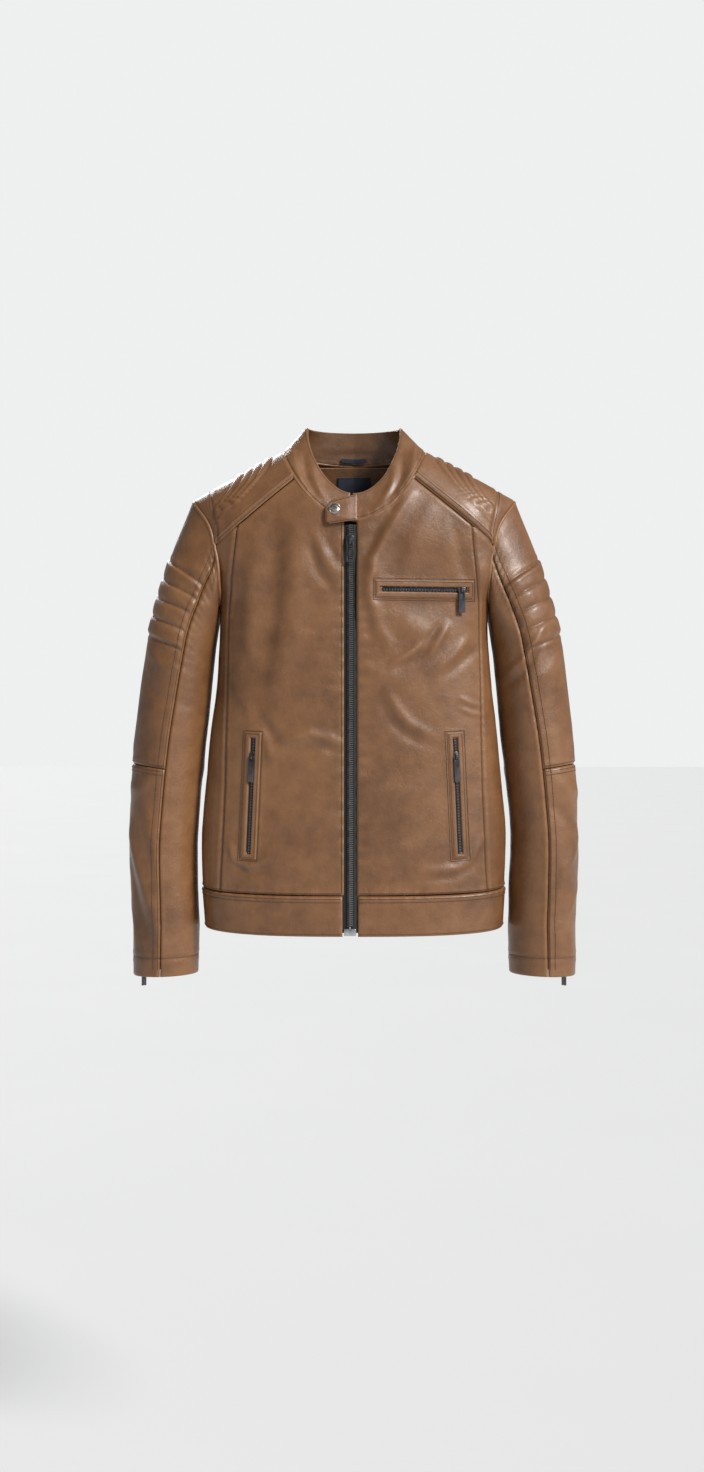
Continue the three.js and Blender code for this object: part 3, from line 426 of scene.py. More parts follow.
def back_hem(u):
    angle = mix(SIDE_SEAM_ANGLE, 360 - SIDE_SEAM_ANGLE, u)
    return angle, hem_seam(angle)


back_map = coons(back_hem, back_yoke_line, back_side, lambda v: across(back_side(v)))


def hem_map(start, end):
    """The hem band between two ends, each a function of height that gives an angle."""
    def at(u, v):
        angle = mix(start(hem_end), end(hem_end), u)
        return angle, mix(hem_seam(angle) - HEM_HEIGHT, hem_seam(angle), v)
    return at


# ---- relief: folds, seams and quilting on the body ----------------------------------------------
# Folds are placed as they look from the front, on leather that stands this share nearer the eye.
NEARER = 0.965
EYE_Z = -396


def seen(points):
    return [(x * NEARER, EYE_Z + (z - EYE_Z) * NEARER) for x, z in points]


# Each fold is its line as (x, z) points, its width and its height; a height below zero is a hollow.
FRONT_FOLDS = [
    # wearer's right front
    ([(-112, -94), (-112, -153), (-119, -231), (-132, -309), (-141, -368)], 17, -4.6),
    ([(-84, -100), (-86, -160), (-90, -240), (-102, -320)], 19, 3.8),
    ([(-140, -120), (-145, -200), (-150, -290)], 13, 3),
    ([(-55, -113), (-39, -151), (-20, -172)], 7, 2.8),
    ([(-62, -128), (-50, -166), (-28, -192)], 7, -2.4),
    ([(-40, -118), (-26, -142), (-15, -150)], 5, -1.6),
    ([(-14, -404), (-38, -398), (-62, -393), (-98, -401)], 6.5, 3.6),
    ([(-14, -417), (-46, -411), (-94, -418)], 7, -2.6),
    ([(-130, -372), (-122, -388), (-108, -404)], 10, -3.6),
    ([(-150, -385), (-128, -402), (-112, -430)], 8, 2.2),
    ([(-175, -546), (-167, -569), (-148, -577), (-122, -568)], 6, 3),
    ([(-170, -575), (-150, -590), (-118, -584)], 6, -2),
    ([(-168, -330), (-150, -352), (-146, -380)], 7, 2),
    ([(-20, -255), (-52, -262), (-84, -252)], 12, 1.6),
    ([(-18, -320), (-50, -333), (-80, -330)], 10, 1.6),
    ([(-18, -520), (-60, -505), (-110, -512)], 14, 1.8),
    # wearer's left front
    ([(80, -55), (48, -108), (27, -148), (23, -193), (35, -245), (48, -268)], 8, 4),
    ([(60, -62), (34, -106), (13, -150), (9, -200), (22, -252)], 8, -2.6),
    ([(110, -70), (84, -120), (72, -165)], 12, 2.2),
    ([(140, -95), (150, -140), (158, -180)], 9, -2.4),
    ([(53, -293), (75, -281), (98, -265)], 5, 3.2),
    ([(60, -302), (84, -290), (104, -275)], 5, -2),
    ([(104, -283), (118, -262), (131, -240)], 6, 3.2),
    ([(94, -272), (110, -252), (122, -236)], 5, -1.8),
    ([(113, -304), (137, -283), (158, -261)], 7, 3.4),
    ([(128, -312), (150, -294), (170, -276)], 6, -2),
    ([(62, -228), (84, -242), (104, -262)], 16, 2.6),
    ([(46, -335), (60, -360), (78, -381), (110, -396)], 8, 3),
    ([(40, -350), (55, -378), (80, -398), (112, -410)], 8, -2),
    ([(93, -585), (120, -584), (144, -580), (166, -564), (180, -540)], 6, 3),
    ([(100, -598), (140, -594), (172, -578)], 6, -2),
    ([(148, -342), (164, -350), (178, -353)], 4, 1.6),
    ([(150, -358), (165, -364), (178, -366)], 4, 1.4),
    ([(14, -300), (40, -312), (66, -318)], 10, 1.6),
    ([(10, -470), (50, -478), (100, -470)], 14, 1.8),
    ([(12, -540), (48, -552), (90, -548)], 10, 1.6),
]
BACK_FOLDS = [
    ([(-95, -140), (-88, -260), (-96, -400)], 22, 3),
    ([(-62, -150), (-55, -280), (-60, -430)], 18, -2.5),
    ([(90, -140), (84, -270), (92, -410)], 22, 3),
    ([(58, -160), (52, -290), (58, -420)], 18, -2.5),
    ([(-150, -230), (-120, -320), (-110, -420)], 14, 2.6),
    ([(150, -230), (122, -330), (112, -430)], 14, 2.6),
    ([(-120, -520), (-40, -545), (50, -540), (130, -515)], 14, 2.4),
    ([(-100, -560), (0, -578), (100, -560)], 10, -1.8),
    ([(-40, -170), (0, -182), (42, -170)], 12, -1.6),
]
FOLDS_FRONT = [(seen(points), width, height) for points, width, height in FRONT_FOLDS]
QUILT_STARTS = (113, 126, 139, 152, 165)
QUILT_SWEEP = 0.0225
CAP_TOP_X = 199
CAP_LOW_X = 187


def girth(angle):
    """Distance round the body from the front middle, for a middling section."""
    table = np.linspace(0, 180, 721)
    section = raw_body(table, -300)
    steps = np.linalg.norm(np.diff(section, axis=0), axis=1)
    run = np.concatenate([[0], np.cumsum(steps)])
    return np.interp(np.abs(angle), table, run)


def groove(gap, depth=1.1, width=2.0):
    """The dip where two turned edges meet, with a soft roll on each side."""
    return -depth * np.exp(-(gap / width) ** 2) + 0.45 * np.exp(-((gap - 4.5) / 3.0) ** 2)


def pucker(gap, run, pitch, height, reach, seed):
    """Small ripples along a seam, of uneven pitch, fading with distance from it."""
    wander = noise(np.stack([run, 0 * run, 0 * run + seed * 50], -1), pitch * 4, seed) * pitch * 0.9
    strength = 0.6 + 0.6 * noise(np.stack([run, 0 * run + 9, 0 * run + seed * 31], -1), pitch * 3, seed + 3)
    return height * strength * np.sin(2 * np.pi * (run + wander) / pitch) * np.exp(-np.abs(gap / reach) ** 1.3)


PRINCESS_PATH = [(float(girth(princess_line(v)[0])), float(princess_line(v)[1]))
                 for v in np.linspace(0, 1, 25)]
YOKE_PATH = [(float(girth(angle_at(x, yoke_z(x)))), float(yoke_z(x)))
             for x in np.linspace(yoke_neck[0], yoke_arm[0], 13)]


def cap_x(z):
    return mix(CAP_TOP_X, CAP_LOW_X, ease((-z - 52) / 75))


def quilt_yoke(x, z):
    """Padded ribs that start at the shoulder seam and sweep out to the strip beside the armhole."""
    drop = np.maximum(0, shoulder_line(x) - z)
    start = np.abs(x) - QUILT_SWEEP * drop * drop
    pitch = QUILT_STARTS[1] - QUILT_STARTS[0]
    share = (start - QUILT_STARTS[0]) / pitch
    inside = (share > 0) & (share < len(QUILT_STARTS) - 1)
    rib = 1 - np.abs(2 * (share % 1) - 1) ** 3.2
    edge = ease((cap_x(z) - np.abs(x)) / 7) * ease((z - yoke_z(np.abs(x)) - 4) / 9)
    valley = np.min([np.abs(start - s) for s in QUILT_STARTS], axis=0)
    flat_pad = 0.9 * (1 - np.exp(-(valley / 3.5) ** 2))
    return edge * np.where(inside, 3.0 * rib, flat_pad)


def relief(angle, z):
    """How far the leather stands out of the smooth body, in millimetres."""
    angle, z = np.broadcast_arrays(np.asarray(angle, float), np.asarray(z, float))
    point = smooth_body(angle, z)
    x, height = point[..., 0], point[..., 2]
    is_front = np.cos(rad(angle)) > 0
    out = 1.3 * noise(point, 95, 1) + 0.7 * noise(point * [1, 1, 0.7], 42, 2) + 0.22 * noise(point, 16, 3)
    calm = ease((-height - 8) / 40)
    for points, width, size in FOLDS_FRONT:
        out = out + np.where(is_front, stroke(x, height, points, width, size), 0)
    for points, width, size in BACK_FOLDS:
        out = out + np.where(is_front, 0, stroke(x, height, points, width, size))
    out = out * mix(0.35, 1, calm)
    side = np.where(x >= 0, 1, -1)
    round_body = girth(angle)
    half_turn = np.abs(np.where(angle > 180, 360 - angle, angle))
    edge = np.abs(x - FRONT_X) - ZIP_HALF
    zip_reach = np.where(is_front & (height < -NECK_DROP_FRONT + 8), edge, 1e3)
    out = out * ease(zip_reach / 26 + 0.25)
    out = out + np.where(is_front, pucker(np.maximum(zip_reach, 0), height + 3 * side, 19, 0.85, 20, 5), 0)
    gap, run = segment_distance(round_body, height, PRINCESS_PATH)
    out = out + groove(gap, 0.9) + pucker(gap, run * 490 + 40 * side, 13, 0.32, 9, 8)
    yoke_gap, run = segment_distance(round_body, height, YOKE_PATH)
    yoke_gap = np.where(is_front, yoke_gap, 1e3)
    above = is_front & (np.abs(x) > yoke_neck[0] - 30) & (height > yoke_z(np.abs(x)))
    out = out + groove(yoke_gap, 1.3) + np.where(above, 0.9 * ease((10 - yoke_gap) / 2), 0)
    out = out + np.where(above, quilt_yoke(x, height), 0)
    cap_gap = np.where(above & (np.abs(x) > 150), np.abs(np.abs(x) - cap_x(height)), 1e3)
    out = out + groove(cap_gap, 0.9, 1.6)
    hem_gap = np.abs(height - hem_seam(angle))
    out = out + groove(hem_gap, 1.3) + pucker(hem_gap, round_body * side, 14, 0.4, 12, 11)
    side_gap = np.abs(round_body - girth(SIDE_SEAM_ANGLE))
    out = out + np.where(height < -190, groove(side_gap, 0.9), 0)
    back_gap = np.where(is_front, 1e3, np.abs(height + BACK_YOKE_DROP))
    out = out + groove(back_gap, 1.0)
    for pocket in POCKETS.values():
        run, aside = pocket_place(pocket, x, height)
        past_end = np.maximum(0, np.abs(run) - pocket["length"] / 2 - 5)
        past = np.hypot(past_end, np.maximum(0, np.abs(aside) - 9))
        near = np.where(is_front, past, 1e3)
        out = out * ease(near / 16 + 0.06) + 0.5 * np.exp(-((near - 4) / 3) ** 2) * (near < 60)
    return out + 0 * half_turn


def skin(angle, z, inward=0.0):
    """The leather's outer face with its relief; inward moves it along its own normal."""
    angle, z = np.broadcast_arrays(np.asarray(angle, float), np.asarray(z, float))
    base = smooth_body(angle, z, 0)
    inner = smooth_body(angle, z, 4.0)
    outward = base - inner
    outward /= np.maximum(1e-6, np.linalg.norm(outward, axis=-1, keepdims=True))
    return base + outward * (relief(angle, z) - inward)[..., None]


# ---- sleeves ------------------------------------------------------------------------------------
ARM_SEAM = 1
CUFF_ZIP_TOP = 0.8
CUFF_ZIP_HALF = 6.4
station_share = profile([(0, 0), (1 / 6, 0.073), (2 / 6, 0.177), (3 / 6, 0.354), (4 / 6, 0.574), (5 / 6, 0.78), (1, 1)])
station_gap = profile([(0, 0.1), (1 / 6, 0.6), (2 / 6, 1.1), (3 / 6, 1), (5 / 6, 1.1), (1, 1.5)])
station_rise = profile([(0, 1), (1 / 6, 0.676), (2 / 6, 0.372), (3 / 6, 0.17), (4 / 6, 0.047), (5 / 6, 0.013),
                        (1, -0.02)])
station_width = profile([(0, SHOULDER_HALF - CHEST_HALF), (1 / 6, SLEEVE_WIDTH * 0.69), (2 / 6, SLEEVE_WIDTH * 0.91),
                         (3 / 6, SLEEVE_WIDTH), (4 / 6, SLEEVE_WIDTH * 0.98), (5 / 6, CUFF_WIDTH * 1.03),
                         (1, CUFF_WIDTH)])
station_depth = profile([(0, 0.92), (1 / 6, 1), (2 / 6, 1.04), (3 / 6, 1.02), (4 / 6, 0.95), (1, 0.83)])
front_seam = profile([(0, 96), (0.3, 101), (0.6, 92), (1, 85)])
back_seam = profile([(0, -80), (0.5, -60), (1, -45)])


def ring(t, turn):
    drop = UNDERARM_DROP + station_share(t) * (SLEEVE_END_DROP - UNDERARM_DROP)
    half_wide = station_width(t) / 2
    half_rise = station_rise(t) * ARMHOLE_HALF
    centre = np.stack([half_width(-drop) + station_gap(t) * ARM_GAP + half_wide, 0 * drop, half_rise - drop], -1)
    cosine = np.cos(rad(turn))
    point = np.stack([
        centre[..., 0] + half_wide * cosine,
        -station_depth(t) * SLEEVE_DEPTH / 2 * np.sin(rad(turn)),
        centre[..., 2] + half_rise * cosine,
    ], -1)
    return centre, point


def smooth_sleeve(t, turn):
    """The sleeve's centre and outside; the turn runs from the outer edge to the front."""
    t, turn = np.broadcast_arrays(np.asarray(t, float), np.asarray(turn, float))
    centre, point = ring(t, turn)
    fade = (1 - ease(t / 0.3))[..., None]
    edge = smooth_body(*armhole(turn % 360)) - ring(0 * t, turn)[1]
    point = point + edge * fade
    outward = point - centre
    outward = outward / np.linalg.norm(outward, axis=-1, keepdims=True)
    point[..., 0] += ARM_SEAM
    return point, outward


def slit_turn(t):
    return np.where(t > CUFF_ZIP_TOP, math.degrees(CUFF_ZIP_HALF / (CUFF_WIDTH / 2)), 0.0)


# Folds on the sleeves as (side, t along, turn round) strokes: the points, width and height in millimetres.
SLEEVE_LENGTH = 560
SLEEVE_RADIUS = 50
SLEEVE_FOLDS = {
    1: [
        ([(0.30, 60), (0.345, 100), (0.36, 140)], 7, 3.2),
        ([(0.325, 70), (0.375, 105), (0.395, 150)], 7, -2.4),
        ([(0.37, 20), (0.40, 70), (0.395, 110)], 9, 2.2),
        ([(0.60, 75), (0.625, 45), (0.63, 10)], 8, 2.4),
        ([(0.645, 90), (0.68, 50), (0.69, 5)], 8, -1.8),
        ([(0.72, 20), (0.78, 60), (0.86, 75)], 8, 2.4),
        ([(0.82, 10), (0.87, 50), (0.93, 70)], 7, 1.8),
        ([(0.66, 40), (0.78, 52), (0.93, 46)], 15, 2.2),
        ([(0.08, 95), (0.15, 80), (0.24, 62)], 9, 2.0),
        ([(0.12, 118), (0.20, 104), (0.30, 92)], 7, -2.0),
    ],
    -1: [
        ([(0.05, 100), (0.11, 82), (0.14, 60)], 6, 3.2),
        ([(0.08, 112), (0.15, 90), (0.19, 66)], 6, -2.4),
        ([(0.13, 120), (0.21, 92), (0.25, 72)], 7, 2.4),
        ([(0.36, 20), (0.385, 70), (0.38, 112)], 9, 2.4),
        ([(0.42, 30), (0.45, 80), (0.44, 120)], 9, -1.8),
        ([(0.59, 85), (0.62, 50), (0.62, 5)], 8, 2.6),
        ([(0.70, 24), (0.78, 50), (0.88, 78), (0.95, 92)], 10, 4.0),
        ([(0.74, 14), (0.83, 38), (0.93, 62)], 9, -2.6),
        ([(0.66, 66), (0.74, 82), (0.80, 92)], 8, 2.2),
        ([(0.86, 15), (0.91, 30), (0.96, 34)], 8, 1.8),
    ],
}
BACK_SLEEVE_FOLDS = [
    ([(0.545, 290), (0.555, 330), (0.55, 360)], 8, 2.8),
    ([(0.60, 285), (0.61, 325), (0.605, 355)], 9, 2.8),
    ([(0.65, 290), (0.665, 330), (0.66, 352)], 9, 2.2),
    ([(0.50, 200), (0.515, 235), (0.52, 265)], 8, 2.4),
    ([(0.57, 190), (0.58, 230), (0.58, 262)], 8, 2.4),
    ([(0.12, 240), (0.20, 262), (0.30, 270)], 11, 2.2),
    ([(0.74, 215), (0.80, 240), (0.88, 250)], 9, 2.0),
]
QUILT_OUTER_Z = (-149, -175, -200, -227, -253)
QUILT_FRONT_Z = (-193, -210, -229, -253, -279)


def sleeve_plane(t, turn):
    """Distances along and round the sleeve in millimetres, for drawing folds and seams."""
    return t * SLEEVE_LENGTH, rad(turn) * SLEEVE_RADIUS


def sleeve_stroke(t, turn, points, width, height):
    a, b = sleeve_plane(t, turn)
    drawn = [(p[0] * SLEEVE_LENGTH, math.radians(p[1]) * SLEEVE_RADIUS) for p in points]
    return stroke(a, b, drawn, width, height)


def quilt_sleeve(point, turn):
    """Padded ribs across the outer panel, dropping from its outer edge to both of its seams."""
    bent = np.where(turn > 180, turn - 360, turn)
    share = np.clip(np.where(bent >= 0, bent / 99, -bent / 74), 0, 1)
    lines = [mix(a, b, share ** 1.35) for a, b in zip(QUILT_OUTER_Z, QUILT_FRONT_Z)]
    z = point[..., 2]
    out = 0
    for high, low in zip(lines[:-1], lines[1:]):
        place = (z - low) / (high - low)
        rib = 1 - np.abs(2 * np.clip(place, 0, 1) - 1) ** 3.2
        out = out + np.where((place > 0) & (place < 1), 3.2 * rib, 0)
    for border in (lines[0], lines[-1]):
        out = out + 0.7 * np.exp(-((np.abs(z - border) - 5) / 3) ** 2) - 0.6 * np.exp(-((z - border) / 1.5) ** 2)
    return out * ease((1 - share) * 12)


def sleeve_relief(t, turn, side):
    t, turn = np.broadcast_arrays(np.asarray(t, float), np.asarray(turn, float))
    point, _ = smooth_sleeve(t, turn)
    own = point * [side, 1, 1]
    out = 1.2 * noise(own, 80, 21) + 0.7 * noise(own, 34, 22) + 0.22 * noise(own, 14, 23)
    wrapped = turn % 360
    for points, width, height in SLEEVE_FOLDS[side]:
        out = out + sleeve_stroke(t, np.where(wrapped > 200, wrapped - 360, wrapped), points, width, height)
    for points, width, height in BACK_SLEEVE_FOLDS:
        out = out + sleeve_stroke(t, np.where(wrapped < 90, wrapped + 360, wrapped), points, width, height)
    seam_front = np.abs(wrapped - front_seam(t)) * math.pi / 180 * SLEEVE_RADIUS
    seam_back = np.abs(wrapped - 360 - back_seam(t)) * math.pi / 180 * SLEEVE_RADIUS
    along_sleeve = t * SLEEVE_LENGTH
    for gap, seed in ((seam_front, 31), (seam_back, 32)):
        out = out + groove(gap, 1.0, 1.8) + pucker(gap, along_sleeve + 60 * side, 15, 0.45, 12, seed)
    elbow_gap = np.abs(t - ELBOW) * SLEEVE_LENGTH
    on_outer = (wrapped < front_seam(t)) | (wrapped > 360 + back_seam(t))
    out = out + np.where(on_outer, groove(elbow_gap, 0.9) + pucker(elbow_gap, rad(turn) * 50, 14, 0.3, 9, 33), 0)
    out = out + np.where(on_outer, quilt_sleeve(point, wrapped), 0)
    hem_gap = np.abs(t - 0.962) * SLEEVE_LENGTH
    out = out + groove(hem_gap, 0.5, 1.4)
    armhole_gap = t * SLEEVE_LENGTH
    out = out + pucker(armhole_gap, rad(turn) * 75, 15, 0.6, 10, 34)
    calm = ease((t - 0.002) / 0.03)
    out = out * mix(0.25, 1, calm)
    zip_gap = np.abs(wrapped - 360 - back_seam(t)) * math.pi / 180 * 46
    return out * np.where(t > CUFF_ZIP_TOP - 0.03, ease((zip_gap - 4) / 14 + 0.05), 1)


def sleeve_skin(t, turn, side, inward=0.0):
    point, outward = smooth_sleeve(t, turn)
    point = point + outward * (sleeve_relief(t, turn, side) - inward)[..., None]
    return point * [side, 1, 1]


def outer_map(start, end):
    def at(u, v):
        t = mix(start, end, v)
        return t, mix(back_seam(t) + slit_turn(t), front_seam(t), u)
    return at


def under_map(u, v):
    return v, mix(front_seam(v), 360 + back_seam(v) - slit_turn(v), u)


# ---- collar -------------------------------------------------------------------------------------
COLLAR_GAP = 2
collar_start = math.degrees(math.asin((FRONT_X + COLLAR_GAP) / NECK_HALF))
collar_end = 360 + math.degrees(math.asin((FRONT_X - COLLAR_GAP) / NECK_HALF))
COLLAR_FOLDS = [
    ([(24, 0.20), (40, 0.50), (50, 0.86)], 9, 2.4),
    ([(30, 0.16), (50, 0.42), (62, 0.72)], 9, -2.2),
    ([(52, 0.12), (70, 0.34), (84, 0.40)], 8, 1.8),
    ([(336, 0.22), (322, 0.50), (306, 0.86)], 9, 2.2),
    ([(330, 0.16), (308, 0.44), (296, 0.74)], 9, -2.2),
    ([(312, 0.12), (292, 0.30), (276, 0.36)], 8, 1.8),
    ([(150, 0.3), (180, 0.36), (215, 0.28)], 9, 1.2),
]


def collar_point(turn, height):
    x, z = neckline(turn)
    angle = angle_at(x, z)
    seam = smooth_body(np.where(np.cos(rad(turn)) > 0, angle, 180 - angle), z)
    cosine = np.cos(rad(turn))
    depth = np.where(cosine > 0, COLLAR_TOP_DEPTH[0], COLLAR_TOP_DEPTH[1])
    rise = COLLAR_RISE - np.where(cosine > 0, (COLLAR_TOP_FRONT + COLLAR_RISE) * np.abs(cosine) ** 1.25, 0)
    top = np.stack([COLLAR_TOP_HALF * np.sin(rad(turn)), -depth * cosine, rise], -1)
    return seam + (top - seam) * height[..., None]


def collar_relief(turn, height):
    place = np.stack([rad(turn) * 85, height * 70, 0 * turn], -1)
    out = 0.9 * noise(place, 60, 41) + 0.5 * noise(place, 26, 42) + 0.18 * noise(place, 12, 43)
    for points, width, size in COLLAR_FOLDS:
        drawn = [(math.radians(p[0]) * 85, p[1] * 70) for p in points]
        out = out + stroke(place[..., 0], place[..., 1], drawn, width, size)
    ends = np.minimum(turn - collar_start, collar_end - turn)
    out = out * ease(ends / 24 + 0.15)
    out = out + groove(height * 70 - 5, 0.7, 1.6) - 0.5 * np.exp(-(((1 - height) * 70 - 6) / 1.2) ** 2)
    return out + pucker(height * 70 - 5, place[..., 0], 12, 0.4, 9, 44)


def collar_skin(turn, height, inward=0.0, amount=1.0):
    turn, height = np.broadcast_arrays(np.asarray(turn, float), np.asarray(height, float))
    point = collar_point(turn, height)
    around = collar_point(turn + 6, height) - collar_point(turn - 6, height)
    up = collar_point(turn, height + 0.01) - point
    normal = np.cross(around, up)
    normal /= np.linalg.norm(normal, axis=-1, keepdims=True)
    inside = np.stack([-point[..., 0], -10 - point[..., 1], 0 * turn], -1)
    normal *= np.where((normal * inside).sum(-1) < 0, -1, 1)[..., None]
    return point + normal * (inward - amount * collar_relief(turn, height))[..., None]


def throat_y(x, z):
    seam = neckline(np.degrees(np.arcsin(x / NECK_HALF)))[1]
    top = collar_point(np.degrees(np.arcsin(x / COLLAR_TOP_HALF)), 1 + 0 * x)
    seam_y = smooth_body(angle_at(x, seam), seam)[..., 1]
    below = smooth_body(angle_at(x, z), z)[..., 1]
    return np.where(z < seam, below, mix(seam_y, top[..., 1], (z - seam) / (top[..., 2] - seam)))


# ---- meshes -------------------------------------------------------------------------------------
collection = bpy.context.scene.collection


def add_mesh(name, points, faces, material, smooth=True, uvs=None):
    """A mesh object from points in millimetres."""
    mesh = bpy.data.meshes.new(name)
    mesh.from_pydata((np.asarray(points) * MM).tolist(), [], [tuple(f) for f in faces])
    mesh.materials.append(material)
    if smooth:
        mesh.polygons.foreach_set("use_smooth", [True] * len(mesh.polygons))
    if uvs is not None:
        layer = mesh.uv_layers.new(name="uv")
        corner = np.zeros(len(mesh.loops), int)
        mesh.loops.foreach_get("vertex_index", corner)
        layer.data.foreach_set("uv", np.asarray(uvs)[corner].ravel())
    mesh.update()
    obj = bpy.data.objects.new(name, mesh)
    collection.objects.link(obj)
    return obj


def grid_faces(rows, columns, start=0, flip=False):
    faces = []
    for r in range(rows - 1):
        for c in range(columns - 1):
            a = start + r * columns + c
            quad = (a, a + 1, a + columns + 1, a + columns)
            faces.append(quad[::-1] if flip else quad)
    return faces


def share_steps(count, edge):
    """Steps from 0 to 1 that are finer at both ends; edge is the first step's share."""
    t = np.linspace(0, 1, count)
    middle = t[1:-1] * (1 - 2 * edge) + edge
    return np.concatenate([[0, edge * 0.35, edge], middle, [1 - edge, 1 - edge * 0.35, 1]])


def run_length(points, axis):
    return np.linalg.norm(np.diff(points, axis=axis), axis=-1).sum(axis=axis).mean()


def cut_size(probe):
    """The widest and longest runs over a coarse grid of points, and the grid's area."""
    widest = np.linalg.norm(np.diff(probe, axis=1), axis=-1).sum(axis=1).max()
    longest = np.linalg.norm(np.diff(probe, axis=0), axis=-1).sum(axis=0).max()
    across, up = np.diff(probe, axis=1)[:-1], np.diff(probe, axis=0)[:, :-1]
    return widest, longest, np.linalg.norm(np.cross(across, up), axis=-1).sum()


def panel(name, surface, material, thick=1.8, step=2.6, roll=0.9, skip=None):
    """A leather panel with a turned, rounded edge. surface(u, v, inward) works on arrays."""
    u, v = np.meshgrid(np.linspace(0, 1, 9), np.linspace(0, 1, 9))
    probe = surface(u, v, 0.0)
    wide, high = run_length(probe, 1), run_length(probe, 0)
    cut_size(probe)
    gap_u, gap_v = 0.35 / wide, 0.35 / high
    us = share_steps(max(6, int(wide / step)), 2.0 / wide)
    vs = share_steps(max(6, int(high / step)), 2.0 / high)
    us = mix(gap_u, 1 - gap_u, us)
    vs = mix(gap_v, 1 - gap_v, vs)
    u, v = np.meshgrid(us, vs)
    edge = np.minimum(np.minimum(u, 1 - u) * wide, np.minimum(v, 1 - v) * high) - 0.35
    sink = roll * (1 - ease(edge / 2.0)) ** 2
    outer = surface(u, v, sink)
    inner = surface(u, v, thick + 0 * u)
    rows, columns = u.shape
    count = rows * columns
    faces = grid_faces(rows, columns) + grid_faces(rows, columns, count, flip=True)
    rim = [c for c in range(columns)] + [r * columns + columns - 1 for r in range(1, rows)]
    rim += [(rows - 1) * columns + c for c in range(columns - 2, -1, -1)]
    rim += [r * columns for r in range(rows - 2, 0, -1)]
    for i, a in enumerate(rim):
        b = rim[(i + 1) % len(rim)]
        faces.append((b, a, count + a, count + b))
    points = np.concatenate([outer.reshape(-1, 3), inner.reshape(-1, 3)])
    if skip is not None:
        flat_mask = skip(u, v, outer).ravel()
        dropped = np.concatenate([flat_mask, flat_mask])
        faces = [f for f in faces if not all(dropped[i] for i in f)]
        faces += hole_walls(faces, count)
    uv = np.stack([u * wide / 100, v * high / 100], -1).reshape(-1, 2)
    obj = add_mesh(name, points, faces, material, uvs=np.concatenate([uv, uv]))
    fix_normals(obj)
    return obj


def hole_walls(faces, count):
    """Walls that join the outer face to the inner one round each hole cut in both."""
    used = {}
    for face in faces:
        for a, b in zip(face, face[1:] + face[:1]):
            key = (min(a, b), max(a, b))
            used[key] = None if key in used else (a, b)
    open_edges = [edge for edge in used.values() if edge is not None and max(edge) < count]
    return [(b, a, count + a, count + b) for a, b in open_edges]


def fix_normals(obj):
    work = bmesh.new()
    work.from_mesh(obj.data)
    loose = [v for v in work.verts if not v.link_faces]
    bmesh.ops.delete(work, geom=loose, context="VERTS")
    bmesh.ops.recalc_face_normals(work, faces=work.faces)
    work.to_mesh(obj.data)
    work.free()


def tube(points, radius, sides=6, closed=False):
    """Points and faces of a thin tube along a line of points."""
    points = np.asarray(points, float)
    ahead = np.roll(points, -1, 0) - np.roll(points, 1, 0)
    if not closed:
        ahead[0] = points[1] - points[0]
        ahead[-1] = points[-1] - points[-2]
    ahead /= np.maximum(1e-9, np.linalg.norm(ahead, axis=1, keepdims=True))
    helper = np.where(np.abs(ahead[:, :1]) > 0.9, [[0, 1, 0]], [[1, 0, 0]])
    side = np.cross(ahead, helper)
    side /= np.linalg.norm(side, axis=1, keepdims=True)
    other = np.cross(ahead, side)
    rings = [points + radius * (math.cos(a) * side + math.sin(a) * other)
             for a in np.linspace(0, 2 * math.pi, sides, endpoint=False)]
    body = np.stack(rings, 1).reshape(-1, 3)
    faces = []
    last = len(points) if closed else len(points) - 1
    for i in range(last):
        for k in range(sides):
            a, b = i * sides + k, i * sides + (k + 1) % sides
            c, d = ((i + 1) % len(points)) * sides + (k + 1) % sides, ((i + 1) % len(points)) * sides + k
            faces.append((a, b, c, d))
    if not closed:
        faces.append(tuple(range(sides))[::-1])
        faces.append(tuple((len(points) - 1) * sides + k for k in range(sides)))
    return body, faces


def gather(name, parts, material, smooth=True):
    """One object from many (points, faces) parts."""
    points, faces, start = [], [], 0
    for body, own in parts:
        points.append(np.asarray(body))
        faces += [tuple(i + start for i in f) for f in own]
        start += len(body)
    return add_mesh(name, np.concatenate(points), faces, material, smooth)


STITCH_PITCH = 3.6
THREAD = 0.42


def stitch_parts(points, pitch=STITCH_PITCH, thread=THREAD, out=None):
    """Stitches along a dense line of points: each a short rounded thread with a gap after it."""
    points = np.asarray(points, float)
    steps = np.linalg.norm(np.diff(points, axis=0), axis=1)
    run = np.concatenate([[0], np.cumsum(steps)])
    count = max(1, int(run[-1] / pitch))
    pitch = run[-1] / count
    shape = np.array([0.08, 0.2, 0.5, 0.8, 0.92])
    lift = np.array([-0.5, 0.12, 0.3, 0.12, -0.5])
    parts = []
    for i in range(count):
        at = (i + shape) * pitch
        line = np.stack([np.interp(at, run, points[:, k]) for k in range(3)], 1)
        if out is not None:
            normal = np.array([np.interp(at, run, out[:, k]) for k in range(3)]).T
            line = line + normal * (lift * thread * 1.5)[:, None]
        parts.append(tube(line, thread, 5))
    return parts


def outward_of(surface_points, deeper_points):
    out = surface_points - deeper_points
    return out / np.maximum(1e-9, np.linalg.norm(out, axis=-1, keepdims=True))


def body_stitches(angle_z, side=1, lift=0.1):
    """Stitches on the body along a dense (angle, z) line."""
    angle, z = angle_z
    surface = skin(side * angle, z, -lift)
    return stitch_parts(surface, out=outward_of(surface, skin(side * angle, z, 2.0)))


def sleeve_stitches(t, turn, side, lift=0.1):
    surface = sleeve_skin(t, turn, side, -lift)
    return stitch_parts(surface, out=outward_of(surface, sleeve_skin(t, turn, side, 2.0)))


